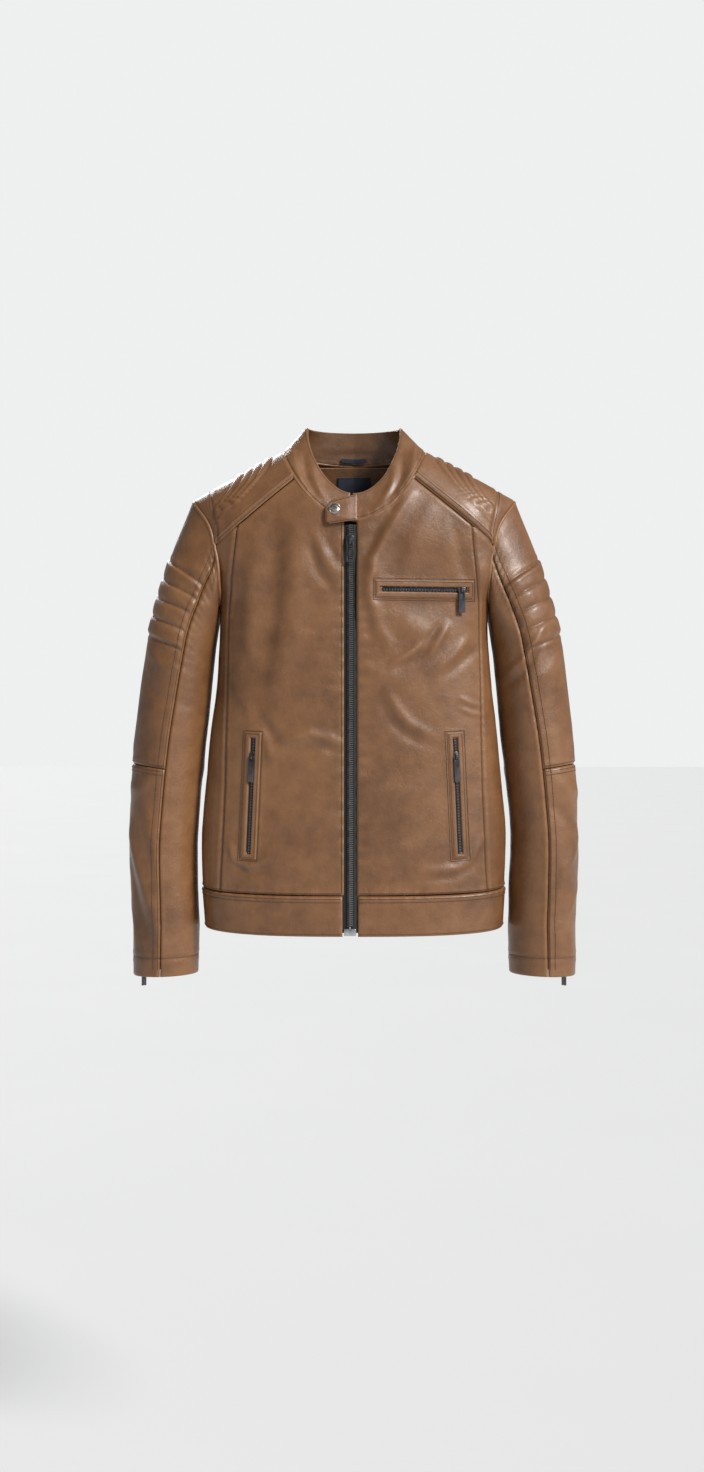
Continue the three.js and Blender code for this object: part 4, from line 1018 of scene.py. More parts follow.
def collar_stitches(turn, height, lift=0.1):
    surface = collar_skin(turn, height, -lift)
    return stitch_parts(surface, out=outward_of(surface, collar_skin(turn, height, 2.0)))


# ---- materials ----------------------------------------------------------------------------------
class Shader:
    """A material's node tree, with short ways to add and join nodes."""

    def __init__(self, name):
        self.material = bpy.data.materials.new(name)
        self.material.use_nodes = True
        self.tree = self.material.node_tree
        self.bsdf = self.tree.nodes["Principled BSDF"]

    def add(self, kind, **values):
        node = self.tree.nodes.new("ShaderNode" + kind)
        for key, value in values.items():
            if hasattr(node, key):
                setattr(node, key, value)
            else:
                node.inputs[key.replace("_", " ")].default_value = value
        return node

    def link(self, source, target, key):
        self.tree.links.new(source, target.inputs[key])
        return target

    def coordinates(self):
        return self.add("TexCoord").outputs["Object"]

    def noise(self, where, scale, detail=3.0, roughness=0.55):
        node = self.add("TexNoise", Scale=scale, Detail=detail, Roughness=roughness)
        return self.link(where, node, "Vector").outputs["Fac"]

    def ramp(self, value, stops):
        node = self.add("ValToRGB")
        band = node.color_ramp
        while len(band.elements) < len(stops):
            band.elements.new(0.5)
        for element, (place, color) in zip(band.elements, stops):
            element.position = place
            element.color = (*color, 1) if len(color) == 3 else color
        self.link(value, node, "Fac")
        return node.outputs["Color"]

    def blend(self, amount, first, second, mode="MIX"):
        node = self.add("Mix", data_type="RGBA", blend_type=mode)
        for socket, value in ((0, amount), (6, first), (7, second)):
            if isinstance(value, (float, int)):
                node.inputs[socket].default_value = value
            elif isinstance(value, tuple):
                node.inputs[socket].default_value = (*value, 1)
            else:
                self.tree.links.new(value, node.inputs[socket])
        return node.outputs[2]

    def math(self, kind, a, b=0.0):
        node = self.add("Math", operation=kind)
        for socket, value in ((0, a), (1, b)):
            if isinstance(value, (float, int)):
                node.inputs[socket].default_value = value
            else:
                self.tree.links.new(value, node.inputs[socket])
        return node.outputs[0]

    def remap(self, value, low, high):
        return self.math("ADD", self.math("MULTIPLY", value, high - low), low)

    def bump(self, height, strength, distance, below=None):
        node = self.add("Bump", Strength=strength, Distance=distance)
        self.link(height, node, "Height")
        if below is not None:
            self.link(below, node, "Normal")
        return node.outputs["Normal"]

    def finish(self, color=None, roughness=None, normal=None, **values):
        for key, value in (("Base Color", color), ("Roughness", roughness), ("Normal", normal)):
            if value is None:
                continue
            if isinstance(value, (float, int)):
                self.bsdf.inputs[key].default_value = value
            elif isinstance(value, tuple):
                self.bsdf.inputs[key].default_value = (*value, 1)
            else:
                self.tree.links.new(value, self.bsdf.inputs[key])
        for key, value in values.items():
            self.bsdf.inputs[key.replace("_", " ")].default_value = value
        return self.material


TAN_DARK = (0.085, 0.034, 0.011)
TAN = (0.185, 0.080, 0.029)
TAN_LIGHT = (0.262, 0.125, 0.050)
STITCH_BROWN = (0.085, 0.044, 0.022)


def leather_material(name, deep=1.0, wear=0.5):
    """Semi-gloss cowhide: pebble grain, fine creases, pulled-up colour, rubbed high spots and painted shade that
    darkens the hollows.
    """
    s = Shader(name)
    where = s.coordinates()
    broad = s.noise(where, 7, 3)
    middling = s.noise(where, 38, 5, 0.6)
    tone = s.math("ADD", s.math("MULTIPLY", broad, 0.55), s.math("MULTIPLY", middling, 0.45))
    colors = [tuple(c * deep for c in shade) for shade in (TAN_DARK, TAN, TAN_LIGHT)]
    color = s.ramp(tone, [(0.26, colors[0]), (0.5, colors[1]), (0.74, colors[2])])
    cells = s.add("TexVoronoi", Scale=820.0, feature="DISTANCE_TO_EDGE")
    warped = s.add("TexNoise", Scale=260.0, Detail=2.0)
    s.link(where, warped, "Vector")
    shifted = s.add("VectorMath", operation="MULTIPLY_ADD")
    s.tree.links.new(warped.outputs["Color"], shifted.inputs[0])
    shifted.inputs[1].default_value = (0.0012, 0.0012, 0.0012)
    s.tree.links.new(where, shifted.inputs[2])
    s.link(shifted.outputs[0], cells, "Vector")
    pebble = s.math("MINIMUM", s.math("MULTIPLY", cells.outputs["Distance"], 5.0), 1.0)
    creases = s.add("TexVoronoi", Scale=105.0, feature="DISTANCE_TO_EDGE")
    s.link(shifted.outputs[0], creases, "Vector")
    crease = s.math("MINIMUM", s.math("MULTIPLY", creases.outputs["Distance"], 9.0), 1.0)
    crease = s.math("MAXIMUM", crease, s.ramp(s.noise(where, 22, 2), [(0.45, (0, 0, 0)), (0.62, (1, 1, 1))]))
    color = s.blend(0.22, color, s.ramp(pebble, [(0.0, (0.30, 0.30, 0.30)), (0.55, (1, 1, 1))]), "MULTIPLY")
    high = s.add("NewGeometry").outputs["Pointiness"]
    rubbed = s.ramp(high, [(0.50, (0, 0, 0)), (0.58, (wear, wear, wear))])
    # Painted shade: hollows with low pointiness, such as fold valleys, are darkened towards TAN_DARK as if shade fell
    # in them.
    sunk = s.ramp(high, [(0.42, (0.6, 0.6, 0.6)), (0.495, (0, 0, 0))])
    color = s.blend(rubbed, color, tuple(c * 1.2 for c in TAN_LIGHT))
    color = s.blend(sunk, color, TAN_DARK)
    gloss = s.remap(s.noise(where, 60, 4), 0.27, 0.46)
    gloss = s.math("ADD", gloss, s.math("MULTIPLY", s.math("SUBTRACT", 1.0, pebble), 0.12))
    normal = s.bump(s.noise(where, 90, 5), 0.30, 0.0022)
    normal = s.bump(crease, 0.16, 0.0006, normal)
    normal = s.bump(pebble, 0.38, 0.00022, normal)
    return s.finish(color, gloss, normal, Specular_IOR_Level=0.5, Coat_Weight=0.16, Coat_Roughness=0.26)


def thread_material(name, color):
    s = Shader(name)
    where = s.coordinates()
    twist = s.add("TexWave", Scale=900.0, Distortion=2.0)
    s.link(where, twist, "Vector")
    darker = tuple(c * 0.7 for c in color)
    paler = tuple(c * 1.25 for c in color)
    shade = s.ramp(s.noise(where, 500), [(0.3, darker), (0.7, paler)])
    normal = s.bump(twist.outputs["Fac"], 0.4, 0.0001)
    return s.finish(shade, 0.55, normal)


def cloth_material(name, color, pitch, ribs=False):
    """Woven cloth: two crossed thread waves, or ribs when asked."""
    s = Shader(name)
    where = s.coordinates()
    angles = ((0.0, 0.0, 0.0), (0.0, math.pi / 2, 0.0))
    waves = []
    for turn in angles:
        place = s.add("Mapping")
        place.inputs["Rotation"].default_value = turn
        s.link(where, place, "Vector")
        wave = s.add("TexWave", Scale=0.314 / pitch, Distortion=0.6, Detail=1.0, bands_direction="X")
        s.link(place.outputs[0], wave, "Vector")
        waves.append(wave.outputs["Fac"])
    height = waves[0] if ribs else s.math("MAXIMUM", waves[0], waves[1])
    height = s.math("ADD", s.math("MULTIPLY", height, 0.8), s.math("MULTIPLY", s.noise(where, 900), 0.3))
    fuzz = s.noise(where, 240, 4)
    shade = s.ramp(s.math("MULTIPLY", height, fuzz), [(0.1, tuple(c * 0.45 for c in color)),
                                                    (0.7, tuple(c * 1.5 for c in color))])
    normal = s.bump(height, 0.5, pitch * 0.25)
    return s.finish(shade, s.remap(fuzz, 0.6, 0.9), normal, Sheen_Weight=0.15, Sheen_Roughness=0.5)


def metal_material(name, color, roughness=(0.22, 0.42), stain=(0.4, 0.4, 0.4)):
    """Cast and plated zinc: fine pitting, rubbed edges and darker low spots."""
    s = Shader(name)
    where = s.coordinates()
    broad = s.noise(where, 160, 4)
    fine = s.noise(where, 1400, 3)
    base = s.ramp(broad, [(0.3, tuple(c * t for c, t in zip(color, stain))), (0.65, color)])
    high = s.add("NewGeometry").outputs["Pointiness"]
    rubbed = s.ramp(high, [(0.52, (0, 0, 0)), (0.62, (0.7, 0.7, 0.7))])
    base = s.blend(rubbed, base, tuple(min(1.0, c * 1.8 + 0.05) for c in color))
    gloss = s.remap(broad, *roughness)
    normal = s.bump(fine, 0.18, 0.00008)
    normal = s.bump(broad, 0.12, 0.0003, normal)
    return s.finish(base, gloss, normal, Metallic=1.0)


looks = {
    "leather": leather_material("leather"),
    # The facing is the same leather painted 0.8 times as dark, as painted shade for the inside of the collar and the
    # back neck, and it is less rubbed.
    "facing": leather_material("facing", 0.8, 0.3),
    "lining": cloth_material("lining", (0.012, 0.012, 0.014), 0.0016, ribs=True),
    "label": cloth_material("label", (0.016, 0.021, 0.036), 0.0009),
    "zip_tape": cloth_material("zip_tape", (0.011, 0.011, 0.012), 0.0011),
    "pocket_cloth": cloth_material("pocket_cloth", (0.02, 0.02, 0.022), 0.0008),
    "silver_metal": metal_material("silver_metal", (0.45, 0.45, 0.46)),
    "antique_nickel": metal_material("antique_nickel", (0.36, 0.33, 0.29)),
    "gunmetal": metal_material("gunmetal", (0.10, 0.10, 0.11)),
    "dark_teeth": metal_material("dark_teeth", (0.135, 0.13, 0.125)),
    "thread": thread_material("thread", STITCH_BROWN),
    "dark_thread": thread_material("dark_thread", (0.02, 0.018, 0.016)),
}


# ---- the body's leather -------------------------------------------------------------------------
SIDES = {"left": 1, "right": -1}
LEATHER_LOOK = looks["leather"]


def on_body(place, side=1, raised=0.0):
    def surface(u, v, inward):
        angle, z = place(u, v)
        return skin(side * angle, z, inward - raised)
    return surface


def crowded(place):
    return lambda u, v: place(u, 1 - (1 - v) ** 1.6)


def in_slot(side):
    """Marks what lies inside a pocket's zip opening, which stays open."""
    own = [pocket for pocket in POCKETS.values() if pocket["side"] == side]

    def test(u, v, points):
        inside = np.zeros(u.shape, bool)
        for pocket in own:
            run, aside = pocket_place(pocket, points[..., 0], points[..., 2])
            inside |= (np.abs(run) < pocket["length"] / 2) & (np.abs(aside) < pocket["slot"] / 2 + 1.2)
        return inside
    return test


torso_pieces = []


def torso_panel(name, place, side, node, raised=0.0, skip=None, **how):
    obj = panel(name, on_body(place, side, raised), LEATHER_LOOK, skip=skip, **how)
    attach(obj, "torso")
    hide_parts(node)
    torso_pieces.append(obj)
    return obj


SIDE_SEAM_SHARE = 0.7
UNDERARM_SHARE = 0.8


def side_rows(u, v):
    """The side panel's rows end on the side seam and, above it, on the armhole."""
    start = princess_line(v)
    seam_z = mix(float(hem_seam(SIDE_SEAM_ANGLE)), armhole_side[1], np.minimum(1, v / SIDE_SEAM_SHARE))
    under = (v - SIDE_SEAM_SHARE) / (UNDERARM_SHARE - SIDE_SEAM_SHARE)
    front = (v - UNDERARM_SHARE) / (1 - UNDERARM_SHARE)
    turn = np.where(v < UNDERARM_SHARE, mix(ARMHOLE_SIDE_TURN, 180, under), mix(180, YOKE_ARM_TURN, front))
    arm = armhole(turn)
    low = v < SIDE_SEAM_SHARE
    end = (np.where(low, SIDE_SEAM_ANGLE, arm[0]), np.where(low, seam_z, arm[1]))
    return mix(start[0], end[0], u), mix(start[1], end[1], u)


for name, side in SIDES.items():
    torso_panel(f"leather_front_{name}", front_map(side), side, f"front_panel_{name}", skip=in_slot(side), step=2.2)
    torso_panel(f"leather_side_{name}", side_rows, side, f"side_panel_{name}")
    yoke = torso_panel(f"leather_yoke_{name}", crowded(yoke_map), side, f"shoulder_yoke_{name}", step=1.7)
    band = hem_map(lambda z, s=side: angle_at(s * FRONT_X + HEM_OPENING, z), lambda z: SIDE_SEAM_ANGLE)
    torso_panel(f"leather_hem_{name}", band, side, f"hem_band_{name}", raised=1.0, thick=3.0, roll=1.3, step=2.2)
torso_panel("leather_back", back_map, 1, "back_panel", step=3.2)
torso_panel("leather_yoke_back", crowded(back_yoke_map), 1, "back_yoke", step=3.0)
torso_panel("leather_hem_back", hem_map(lambda z: SIDE_SEAM_ANGLE, lambda z: 360 - SIDE_SEAM_ANGLE), 1,
            "hem_band_back", raised=1.0, thick=3.0, roll=1.3, step=3.0)


def sleeve_bend(obj):
    """Bakes the piece's placement into its mesh."""
    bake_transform(obj)


def on_sleeve(place, side):
    def surface(u, v, inward):
        t, turn = place(u, v)
        return sleeve_skin(t, turn, side, inward)
    return surface


for name, side in SIDES.items():
    for part, place, node in (
        ("upper", outer_map(0, ELBOW), "sleeve_upper"),
        ("forearm", outer_map(ELBOW, 1), "sleeve_forearm"),
        ("under", under_map, "sleeve_under"),
    ):
        obj = panel(f"leather_sleeve_{part}_{name}", on_sleeve(place, side), LEATHER_LOOK, step=2.1)
        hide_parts(f"{node}_{name}")
        sleeve_bend(obj)


def armhole_seam(name, side):
    """The turned seam allowance inside an armhole, which closes the seam between body and sleeve."""
    turn = np.linspace(0, 360, 240, endpoint=False)
    on_yoke = skin(*armhole(turn), 2.2)
    on_arm = sleeve_skin(0.004 + 0 * turn, turn, 1, 2.2)
    middle = (on_yoke + on_arm) / 2 * [side, 1, 1]
    obj = gather(f"leather_armhole_seam_{name}", [tube(middle, 2.5, 10, closed=True)], LEATHER_LOOK)
    sleeve_bend(obj)


for name, side in SIDES.items():
    armhole_seam(name, side)

# ---- collar and tab -----------------------------------------------------------------------------
def collar_surface(depth=0.0, amount=1.0):
    return lambda u, v, inward: collar_skin(mix(collar_start, collar_end, u), mix(0.015, 1, v), inward + depth, amount)


collar_outer = panel("leather_collar", collar_surface(), LEATHER_LOOK, thick=2.2, step=2.2)
# The collar's inside takes the darker facing leather, which is painted shade.
collar_facing = panel("leather_collar_facing", collar_surface(2.5), looks["facing"], thick=1.5, step=2.8)
for obj, node, finish in ((collar_outer, "collar_outer", "leather"), (collar_facing, "collar_facing", "facing")):
    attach(obj, "torso")
    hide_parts(node)

turn = np.linspace(collar_start, collar_end, 400)
seam_line = collar_skin(turn, 0.0 * turn, 2.4, 0.3)
collar_seam = gather("leather_collar_seam", [tube(seam_line, 2.3, 10)], LEATHER_LOOK)
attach(collar_seam, "torso")

TAB_ROOT, TAB_TIP = 4.5, -39
TAB_THICK, TAB_LIFT = 3.0, 2.8
SNAP_PLACE = (-26, -92)


def tab_surface(u, v, inward):
    x = mix(TAB_ROOT, TAB_TIP, u)
    low = mix(-NECK_DROP_FRONT - 2, -NECK_DROP_FRONT - 8, u)
    corner = 7 * ease((u - 0.8) / 0.2)
    z = mix(low + 4 * ease((u - 0.86) / 0.14), mix(-67, -79, u) - corner, v)
    lift = mix(1.2, TAB_LIFT, ease(u / 0.35)) + TAB_THICK
    point = np.stack([x + 0 * z, throat_y(x, z), z], -1)
    sag = 0.5 * noise(point, 18, 61) + 0.7 * np.exp(-((v - 0.5) / 0.22) ** 2) * ease(u * 3)
    dent = -0.9 * np.exp(-(((x - SNAP_PLACE[0]) ** 2 + (z - SNAP_PLACE[1]) ** 2) / 110))
    point[..., 1] -= lift + sag + dent - inward
    return point


tab = panel("leather_tab", tab_surface, LEATHER_LOOK, thick=TAB_THICK, step=1.2, roll=0.8)
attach(tab, "collar_tab")
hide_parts("collar_tab")


# ---- linings, facing, label and loop ------------------------------------------------------------
def plain_body(place, depth, side=1):
    def surface(u, v, inward):
        angle, z = place(u, v)
        point = smooth_body(side * angle, z, depth)
        ripple = 0.5 * noise(point, 40, 71) + 0.25 * noise(point, 15, 72)
        deeper = smooth_body(side * angle, z, depth + 4)
        out = outward_of(point, deeper)
        return point + out * (ripple - inward)[..., None]
    return surface


def inner_piece(name, surface, material, body, node, thick=0.8, step=6.0):
    obj = panel(name, surface, material, thick=thick, step=step, roll=0.2)
    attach(obj, body)
    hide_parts(node)
    return obj


LINING_SPLIT = -UNDERARM_DROP - 7
LINING_FRONT = 22
LINING_NECK = 0.16
lining_corner = mix(NECK_HALF, SHOULDER_HALF, LINING_NECK)


def lining_barrel(u, v):
    z = mix(-HEM_SEAM_DROP - 20, LINING_SPLIT, v)
    return mix(angle_at(FRONT_X + LINING_FRONT, z), 360 - angle_at(-FRONT_X + LINING_FRONT, z), u), z


def lining_upper(side):
    edge = front_edge(side, LINING_FRONT, LINING_SPLIT, 90)
    start = float(edge(0.0)[0])
    return coons(
        lambda u: (mix(start, 90, u), mix(LINING_SPLIT, -UNDERARM_DROP, u)),
        shoulder, edge, lambda v: armhole(180 * (1 - v)))


def lining_neck(t):
    x = mix(lining_corner, -lining_corner, t)
    z = shoulder_line(lining_corner) - 16 * np.sin(np.pi * t)
    return 180 - angle_at(x, z), z


lining_top = join([
    (0.3, lambda t: behind(shoulder(mix(1, LINING_NECK, t)))),
    (0.7, lining_neck),
    (1, lambda t: across(behind(shoulder(mix(LINING_NECK, 1, t))))),
])
lining_yoke = coons(
    back_yoke_line, lining_top,
    lambda v: armhole(360 - back_yoke_turn * (1 - v)),
    lambda v: across(armhole(360 - back_yoke_turn * (1 - v))),
)


def lining_back(u, v):
    """Level rows as far as the yoke seam, then rows up to the shoulders."""
    low = np.minimum(1, 2 * v)
    left = armhole(mix(180, 360 - back_yoke_turn, low))
    right = across(left)
    upper = crowded(lining_yoke)(u, np.maximum(0, 2 * v - 1))
    sag = 7 * np.sin(np.pi * u) * (1 - low)
    return (np.where(v > 0.5, upper[0], mix(left[0], right[0], u)),
            np.where(v > 0.5, upper[1], mix(left[1], right[1], u) - sag))


inner_piece("lining_barrel", plain_body(lining_barrel, LINING_DEPTH), looks["lining"], "torso", "lining_body")
inner_piece("lining_of_back", plain_body(lining_back, LINING_DEPTH), looks["lining"], "torso", "lining_back")
for name, side in SIDES.items():
    inner_piece(f"lining_of_front_{name}", plain_body(crowded(lining_upper(side)), LINING_DEPTH, side),
                looks["lining"], "torso", f"lining_front_{name}")

    def tube_surface(u, v, inward, side=side):
        t, turn = mix(0.03, 0.985, v), mix(1, 359, u)
        point, outward = smooth_sleeve(t, turn)
        ripple = 0.5 * noise(point, 30, 73)
        return (point - outward * (4.2 + inward - ripple)[..., None]) * [side, 1, 1]
    obj = panel(f"lining_of_sleeve_{name}", tube_surface, looks["lining"], thick=0.8, step=5.0, roll=0.2)
    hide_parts(f"sleeve_lining_{name}")
    sleeve_bend(obj)


def facing_x(z):
    return mix(84, 66, (-z - 14) / 56)


def neck_place(u, v):
    z = mix(-70, -7, v)
    angle = 180 - angle_at(facing_x(z), z)
    return mix(angle, 360 - angle, u), z


def label_place(u, v):
    x, z = mix(-25, 25, u), mix(-62, -20, v)
    return 180 - angle_at(x, z), z


NECK_FACING = 9.2
inner_piece("neck_facing_leather", plain_body(neck_place, NECK_FACING), looks["facing"], "torso", "neck_facing",
            1.4, 3.0)
label = inner_piece("neck_label_woven", plain_body(label_place, 11.4), looks["label"], "torso", "neck_label",
                    0.6, 1.6)
loop_piece = inner_piece(
    "hanging_loop_woven",
    lambda u, v, inward: collar_skin(mix(168, 192, u), mix(0.1, 0.24, v), inward + 6.6, 0.0),
    looks["label"], "torso", "hanging_loop", 1.2, 1.6)


def label_frame(inset):
    """A closed dense line just inside the label's edge."""
    t = np.linspace(0, 1, 60)
    low, high = inset / 50, 1 - inset / 50
    us = np.concatenate([mix(low, high, t), high + 0 * t, mix(high, low, t), low + 0 * t])
    down, up = inset / 42, 1 - inset / 42
    vs = np.concatenate([down + 0 * t, mix(down, up, t), up + 0 * t, mix(up, down, t)])
    return us, vs


label_stitches = stitch_parts(plain_body(label_place, 12.2)(*label_frame(2.0), 0.0), 2.6, 0.25)
stitched = gather("neck_label_stitching", label_stitches, looks["dark_thread"])
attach(stitched, "torso")

# ---- pocket frames, their zips and bags ---------------------------------------------------------


def on_pocket(pocket, run, aside, out):
    """Points on the leather beside a pocket's zip, standing out by so many millimetres."""
    x, z = along(pocket, run, aside)
    return skin(angle_at(x, z), z, -out)


def welt_ring(pocket):
    """The folded leather frame round the opening, as one closed band with rounded lips."""
    half, wide = pocket["length"] / 2 + 7, pocket["frame"] / 2
    inner_half, inner_wide = pocket["length"] / 2 + 0.5, pocket["slot"] / 2 - 0.6
    steps = []
    for a, b, count in (((-1, -1), (1, -1), 90), ((1, -1), (1, 1), 16), ((1, 1), (-1, 1), 90), ((-1, 1), (-1, -1), 16)):
        for t in np.linspace(0, 1, count, endpoint=False):
            steps.append((mix(a[0], b[0], t), mix(a[1], b[1], t)))
    corner = np.array(steps)
    profile_points = ((0.0, -0.9), (0.0, 0.5), (0.06, 1.25), (0.2, 1.6), (0.5, 1.75), (0.8, 2.2), (0.95, 1.9),
                      (1.0, 1.0), (1.0, -1.6))
    rings = []
    for share, out in profile_points:
        run = corner[:, 0] * mix(half, inner_half, share)
        aside = corner[:, 1] * mix(wide, inner_wide, share)
        wobble = 0.18 * noise(np.stack([run, aside, 0 * run + share * 20], -1), 16, 81)
        rings.append(on_pocket(pocket, run, aside, out + wobble))
    points = np.stack(rings)
    count = len(corner)
    faces = []
    for r in range(len(rings)):
        for c in range(count):
            d = (c + 1) % count
            s = (r + 1) % len(rings)
            faces.append((r * count + c, r * count + d, s * count + d, s * count + c))
    return points.reshape(-1, 3), faces


def pocket_line(pocket, run_share, wide, count=200):
    """A closed dense rectangle of points round a pocket, for its topstitching."""
    half = pocket["length"] / 2 + run_share
    t = np.linspace(0, 1, count)
    run = np.concatenate([mix(-half, half, t), half + 0 * t[:40], mix(half, -half, t), -half + 0 * t[:40]])
    short = np.linspace(0, 1, 40)
    aside = np.concatenate([-wide + 0 * t, mix(-wide, wide, short), wide + 0 * t, mix(wide, -wide, short)])
    return run, aside


def tooth(x0, x1, y0, y1, z0, z1):
    points = [(x, y, z) for z in (z0, z1) for y in (y0, y1) for x in (x0, x1)]
    faces = [(0, 1, 3, 2), (4, 6, 7, 5), (0, 4, 5, 1), (2, 3, 7, 6), (0, 2, 6, 4), (1, 5, 7, 3)]
    return np.array(points, float), faces


def placed_parts(parts, origin, right, out, up):
    """Moves parts made round a local frame, where X is right, -Y is out and Z is up."""
    axes = np.stack([right, -np.asarray(out), up])
    return [(np.asarray(points) @ axes + origin, faces) for points, faces in parts]


def fine_chain(length, pitch=1.9, half=1.7, high=0.75):
    """Two rows of small interlocking teeth along Z from 0."""
    parts = []
    for i in range(int(length / pitch)):
        z = (i + 0.5) * pitch
        side = 1 if i % 2 else -1
        parts.append(tooth(side * half, -side * half * 0.35, -high, 0.35, z - pitch * 0.42, z + pitch * 0.42))
    return parts


def tape_strip(surface_points, material, name):
    """A strip of tape from a grid of points, doubled to a closed thin sheet."""
    rows, columns = surface_points[0].shape[:2]
    count = rows * columns
    faces = grid_faces(rows, columns) + grid_faces(rows, columns, count, flip=True)
    rim = list(range(columns)) + [r * columns + columns - 1 for r in range(1, rows)]
    rim += [(rows - 1) * columns + c for c in range(columns - 2, -1, -1)] + [r * columns for r in range(rows - 2, 0, -1)]
    faces += [(rim[(i + 1) % len(rim)], a, count + a, count + rim[(i + 1) % len(rim)]) for i, a in enumerate(rim)]
    points = np.concatenate([p.reshape(-1, 3) for p in surface_points])
    obj = add_mesh(name, points, faces, material)
    fix_normals(obj)
    return obj


for key, pocket in POCKETS.items():
    welt = add_mesh(f"{key}_frame", *welt_ring(pocket), LEATHER_LOOK)
    fix_normals(welt)
    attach(welt, "torso")
    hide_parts(f"{key}_welt")
    run, aside = pocket_line(pocket, 5.0, pocket["frame"] / 2 - 2.0)
    seams = stitch_parts(on_pocket(pocket, run, aside, 1.75))
    run, aside = pocket_line(pocket, 9.0, pocket["frame"] / 2 + 2.2)
    seams += stitch_parts(on_pocket(pocket, run, aside, 0.3))
    stitches = gather(f"{key}_stitching", seams, looks["thread"])
    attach(stitches, "torso")
    half = pocket["length"] / 2
    t, s = np.meshgrid(np.linspace(-half + 0.4, half - 0.4, 60), np.linspace(-1, 1, 9))
    reach = pocket["slot"] / 2 + 0.2
    layers = [on_pocket(pocket, t, s * reach, out) for out in (-0.5, -1.3)]
    tape = tape_strip(layers, looks["zip_tape"], f"{key}_tape")
    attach(tape, "torso")
    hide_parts(f"{key}_zip")
    ends = on_pocket(pocket, np.array([-half + 1.0, half - 1.0]), np.array([0.0, 0.0]), -0.3)
    up = (ends[1] - ends[0]) / np.linalg.norm(ends[1] - ends[0])
    middle = on_pocket(pocket, np.array([0.0, 0.0]), np.array([1.0, -1.0]), -0.3)
    wide = (middle[0] - middle[1]) / np.linalg.norm(middle[0] - middle[1])
    out = np.cross(wide, up)
    out *= -np.sign(out[1])
    chain = placed_parts(fine_chain(np.linalg.norm(ends[1] - ends[0])), ends[0], np.cross(up, -out), out, up)
    teeth = gather(f"{key}_teeth", chain, looks["gunmetal"], smooth=False)
    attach(teeth, "torso")


# ---- hardware copied from the frame, with rounded edges -----------------------------------------
def rounded_copy(node, name, material, width=0.30, body=None):
    """The node's own solid with small rounds on its edges."""
    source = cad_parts[node]
    mesh = source.data.copy()
    obj = bpy.data.objects.new(name, mesh)
    collection.objects.link(obj)
    work = bmesh.new()
    work.from_mesh(mesh)
    bmesh.ops.remove_doubles(work, verts=work.verts, dist=1e-6)
    bmesh.ops.dissolve_limit(work, angle_limit=math.radians(4), verts=work.verts, edges=work.edges)
    sharp = [e for e in work.edges if len(e.link_faces) == 2 and e.calc_face_angle(0) > math.radians(30)]
    bmesh.ops.bevel(work, geom=sharp, offset=width * MM, segments=2, profile=0.6, affect="EDGES", clamp_overlap=True)
    work.to_mesh(mesh)
    work.free()
    mesh.materials.clear()
    mesh.materials.append(material)
    mesh.polygons.foreach_set("use_smooth", [True] * len(mesh.polygons))
    mesh.set_sharp_from_angle(angle=math.radians(50))
    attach(obj, body or node)
    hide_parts(node)
    return obj


RUNNERS = ["main_zip", "chest_pocket", "hand_pocket_left", "hand_pocket_right", "cuff_zip_left", "cuff_zip_right"]
for runner in RUNNERS:
    for part in ("slider", "pull"):
        rounded_copy(f"{runner}_{part}", f"{runner}_{part}_cast", looks["gunmetal"], 0.3)
rounded_copy("main_zip_box", "main_zip_box_cast", looks["silver_metal"], 0.7, "torso")
rounded_copy("collar_snap_cap", "collar_snap_cap_pressed", looks["antique_nickel"], 0.25, "collar_tab")
rounded_copy("collar_snap_stud", "collar_snap_stud_turned", looks["antique_nickel"], 0.25, "torso")
for key in POCKETS:
    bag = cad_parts[f"{key}_bag"]
    bag.data.materials.clear()
    bag.data.materials.append(looks["pocket_cloth"])


def snap_ring():
    """The rolled rim and the sunk middle ring of the snap."""
    low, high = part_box("collar_snap_cap")
    middle = (np.array(low) + np.array(high)) / 2 / MM
    front = float(low[1]) / MM
    parts = []
    for radius, thick, deep in ((7.3, 0.55, 2.1), (3.9, 0.32, 0.55)):
        t = np.linspace(0, 2 * math.pi, 64, endpoint=False)
        ring_points = np.stack([middle[0] + radius * np.cos(t), front + deep + 0 * t, middle[2] + radius * np.sin(t)], 1)
        parts.append(tube(ring_points, thick, 8, closed=True))
    return gather("collar_snap_rings", parts, looks["antique_nickel"])


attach(snap_ring(), "collar_tab")

# ---- front zip ----------------------------------------------------------------------------------
ZIP_TOP_POINT = smooth_body(angle_at(FRONT_X, -ZIP_TOP_DROP), -ZIP_TOP_DROP)
ZIP_END_POINT = smooth_body(angle_at(FRONT_X, -ZIP_BOTTOM_DROP), -ZIP_BOTTOM_DROP)
zip_length = float(np.linalg.norm(ZIP_TOP_POINT - ZIP_END_POINT))
zip_up = (ZIP_TOP_POINT - ZIP_END_POINT) / zip_length
zip_out = np.array([0, -zip_up[2], zip_up[1]])
zip_right = np.array([1.0, 0, 0])
BOX_HEIGHT = 9.5
chain_length = zip_length - BOX_HEIGHT - 1
FINE_PITCH = 2.9


def front_tooth(side, z):
    """One cast tooth: a body clamped on the tape and a narrower head across the middle."""
    shank = tooth(side * 3.9, side * 1.2, -1.35, 1.5, z - 0.72, z + 0.72)
    head = tooth(side * 1.5, -side * 1.15, -1.0, 1.1, z - 0.95, z + 0.95)
    tip = tooth(-side * 0.6, -side * 1.45, -0.75, 0.8, z - 0.5, z + 0.5)
    return [shank, head, tip]


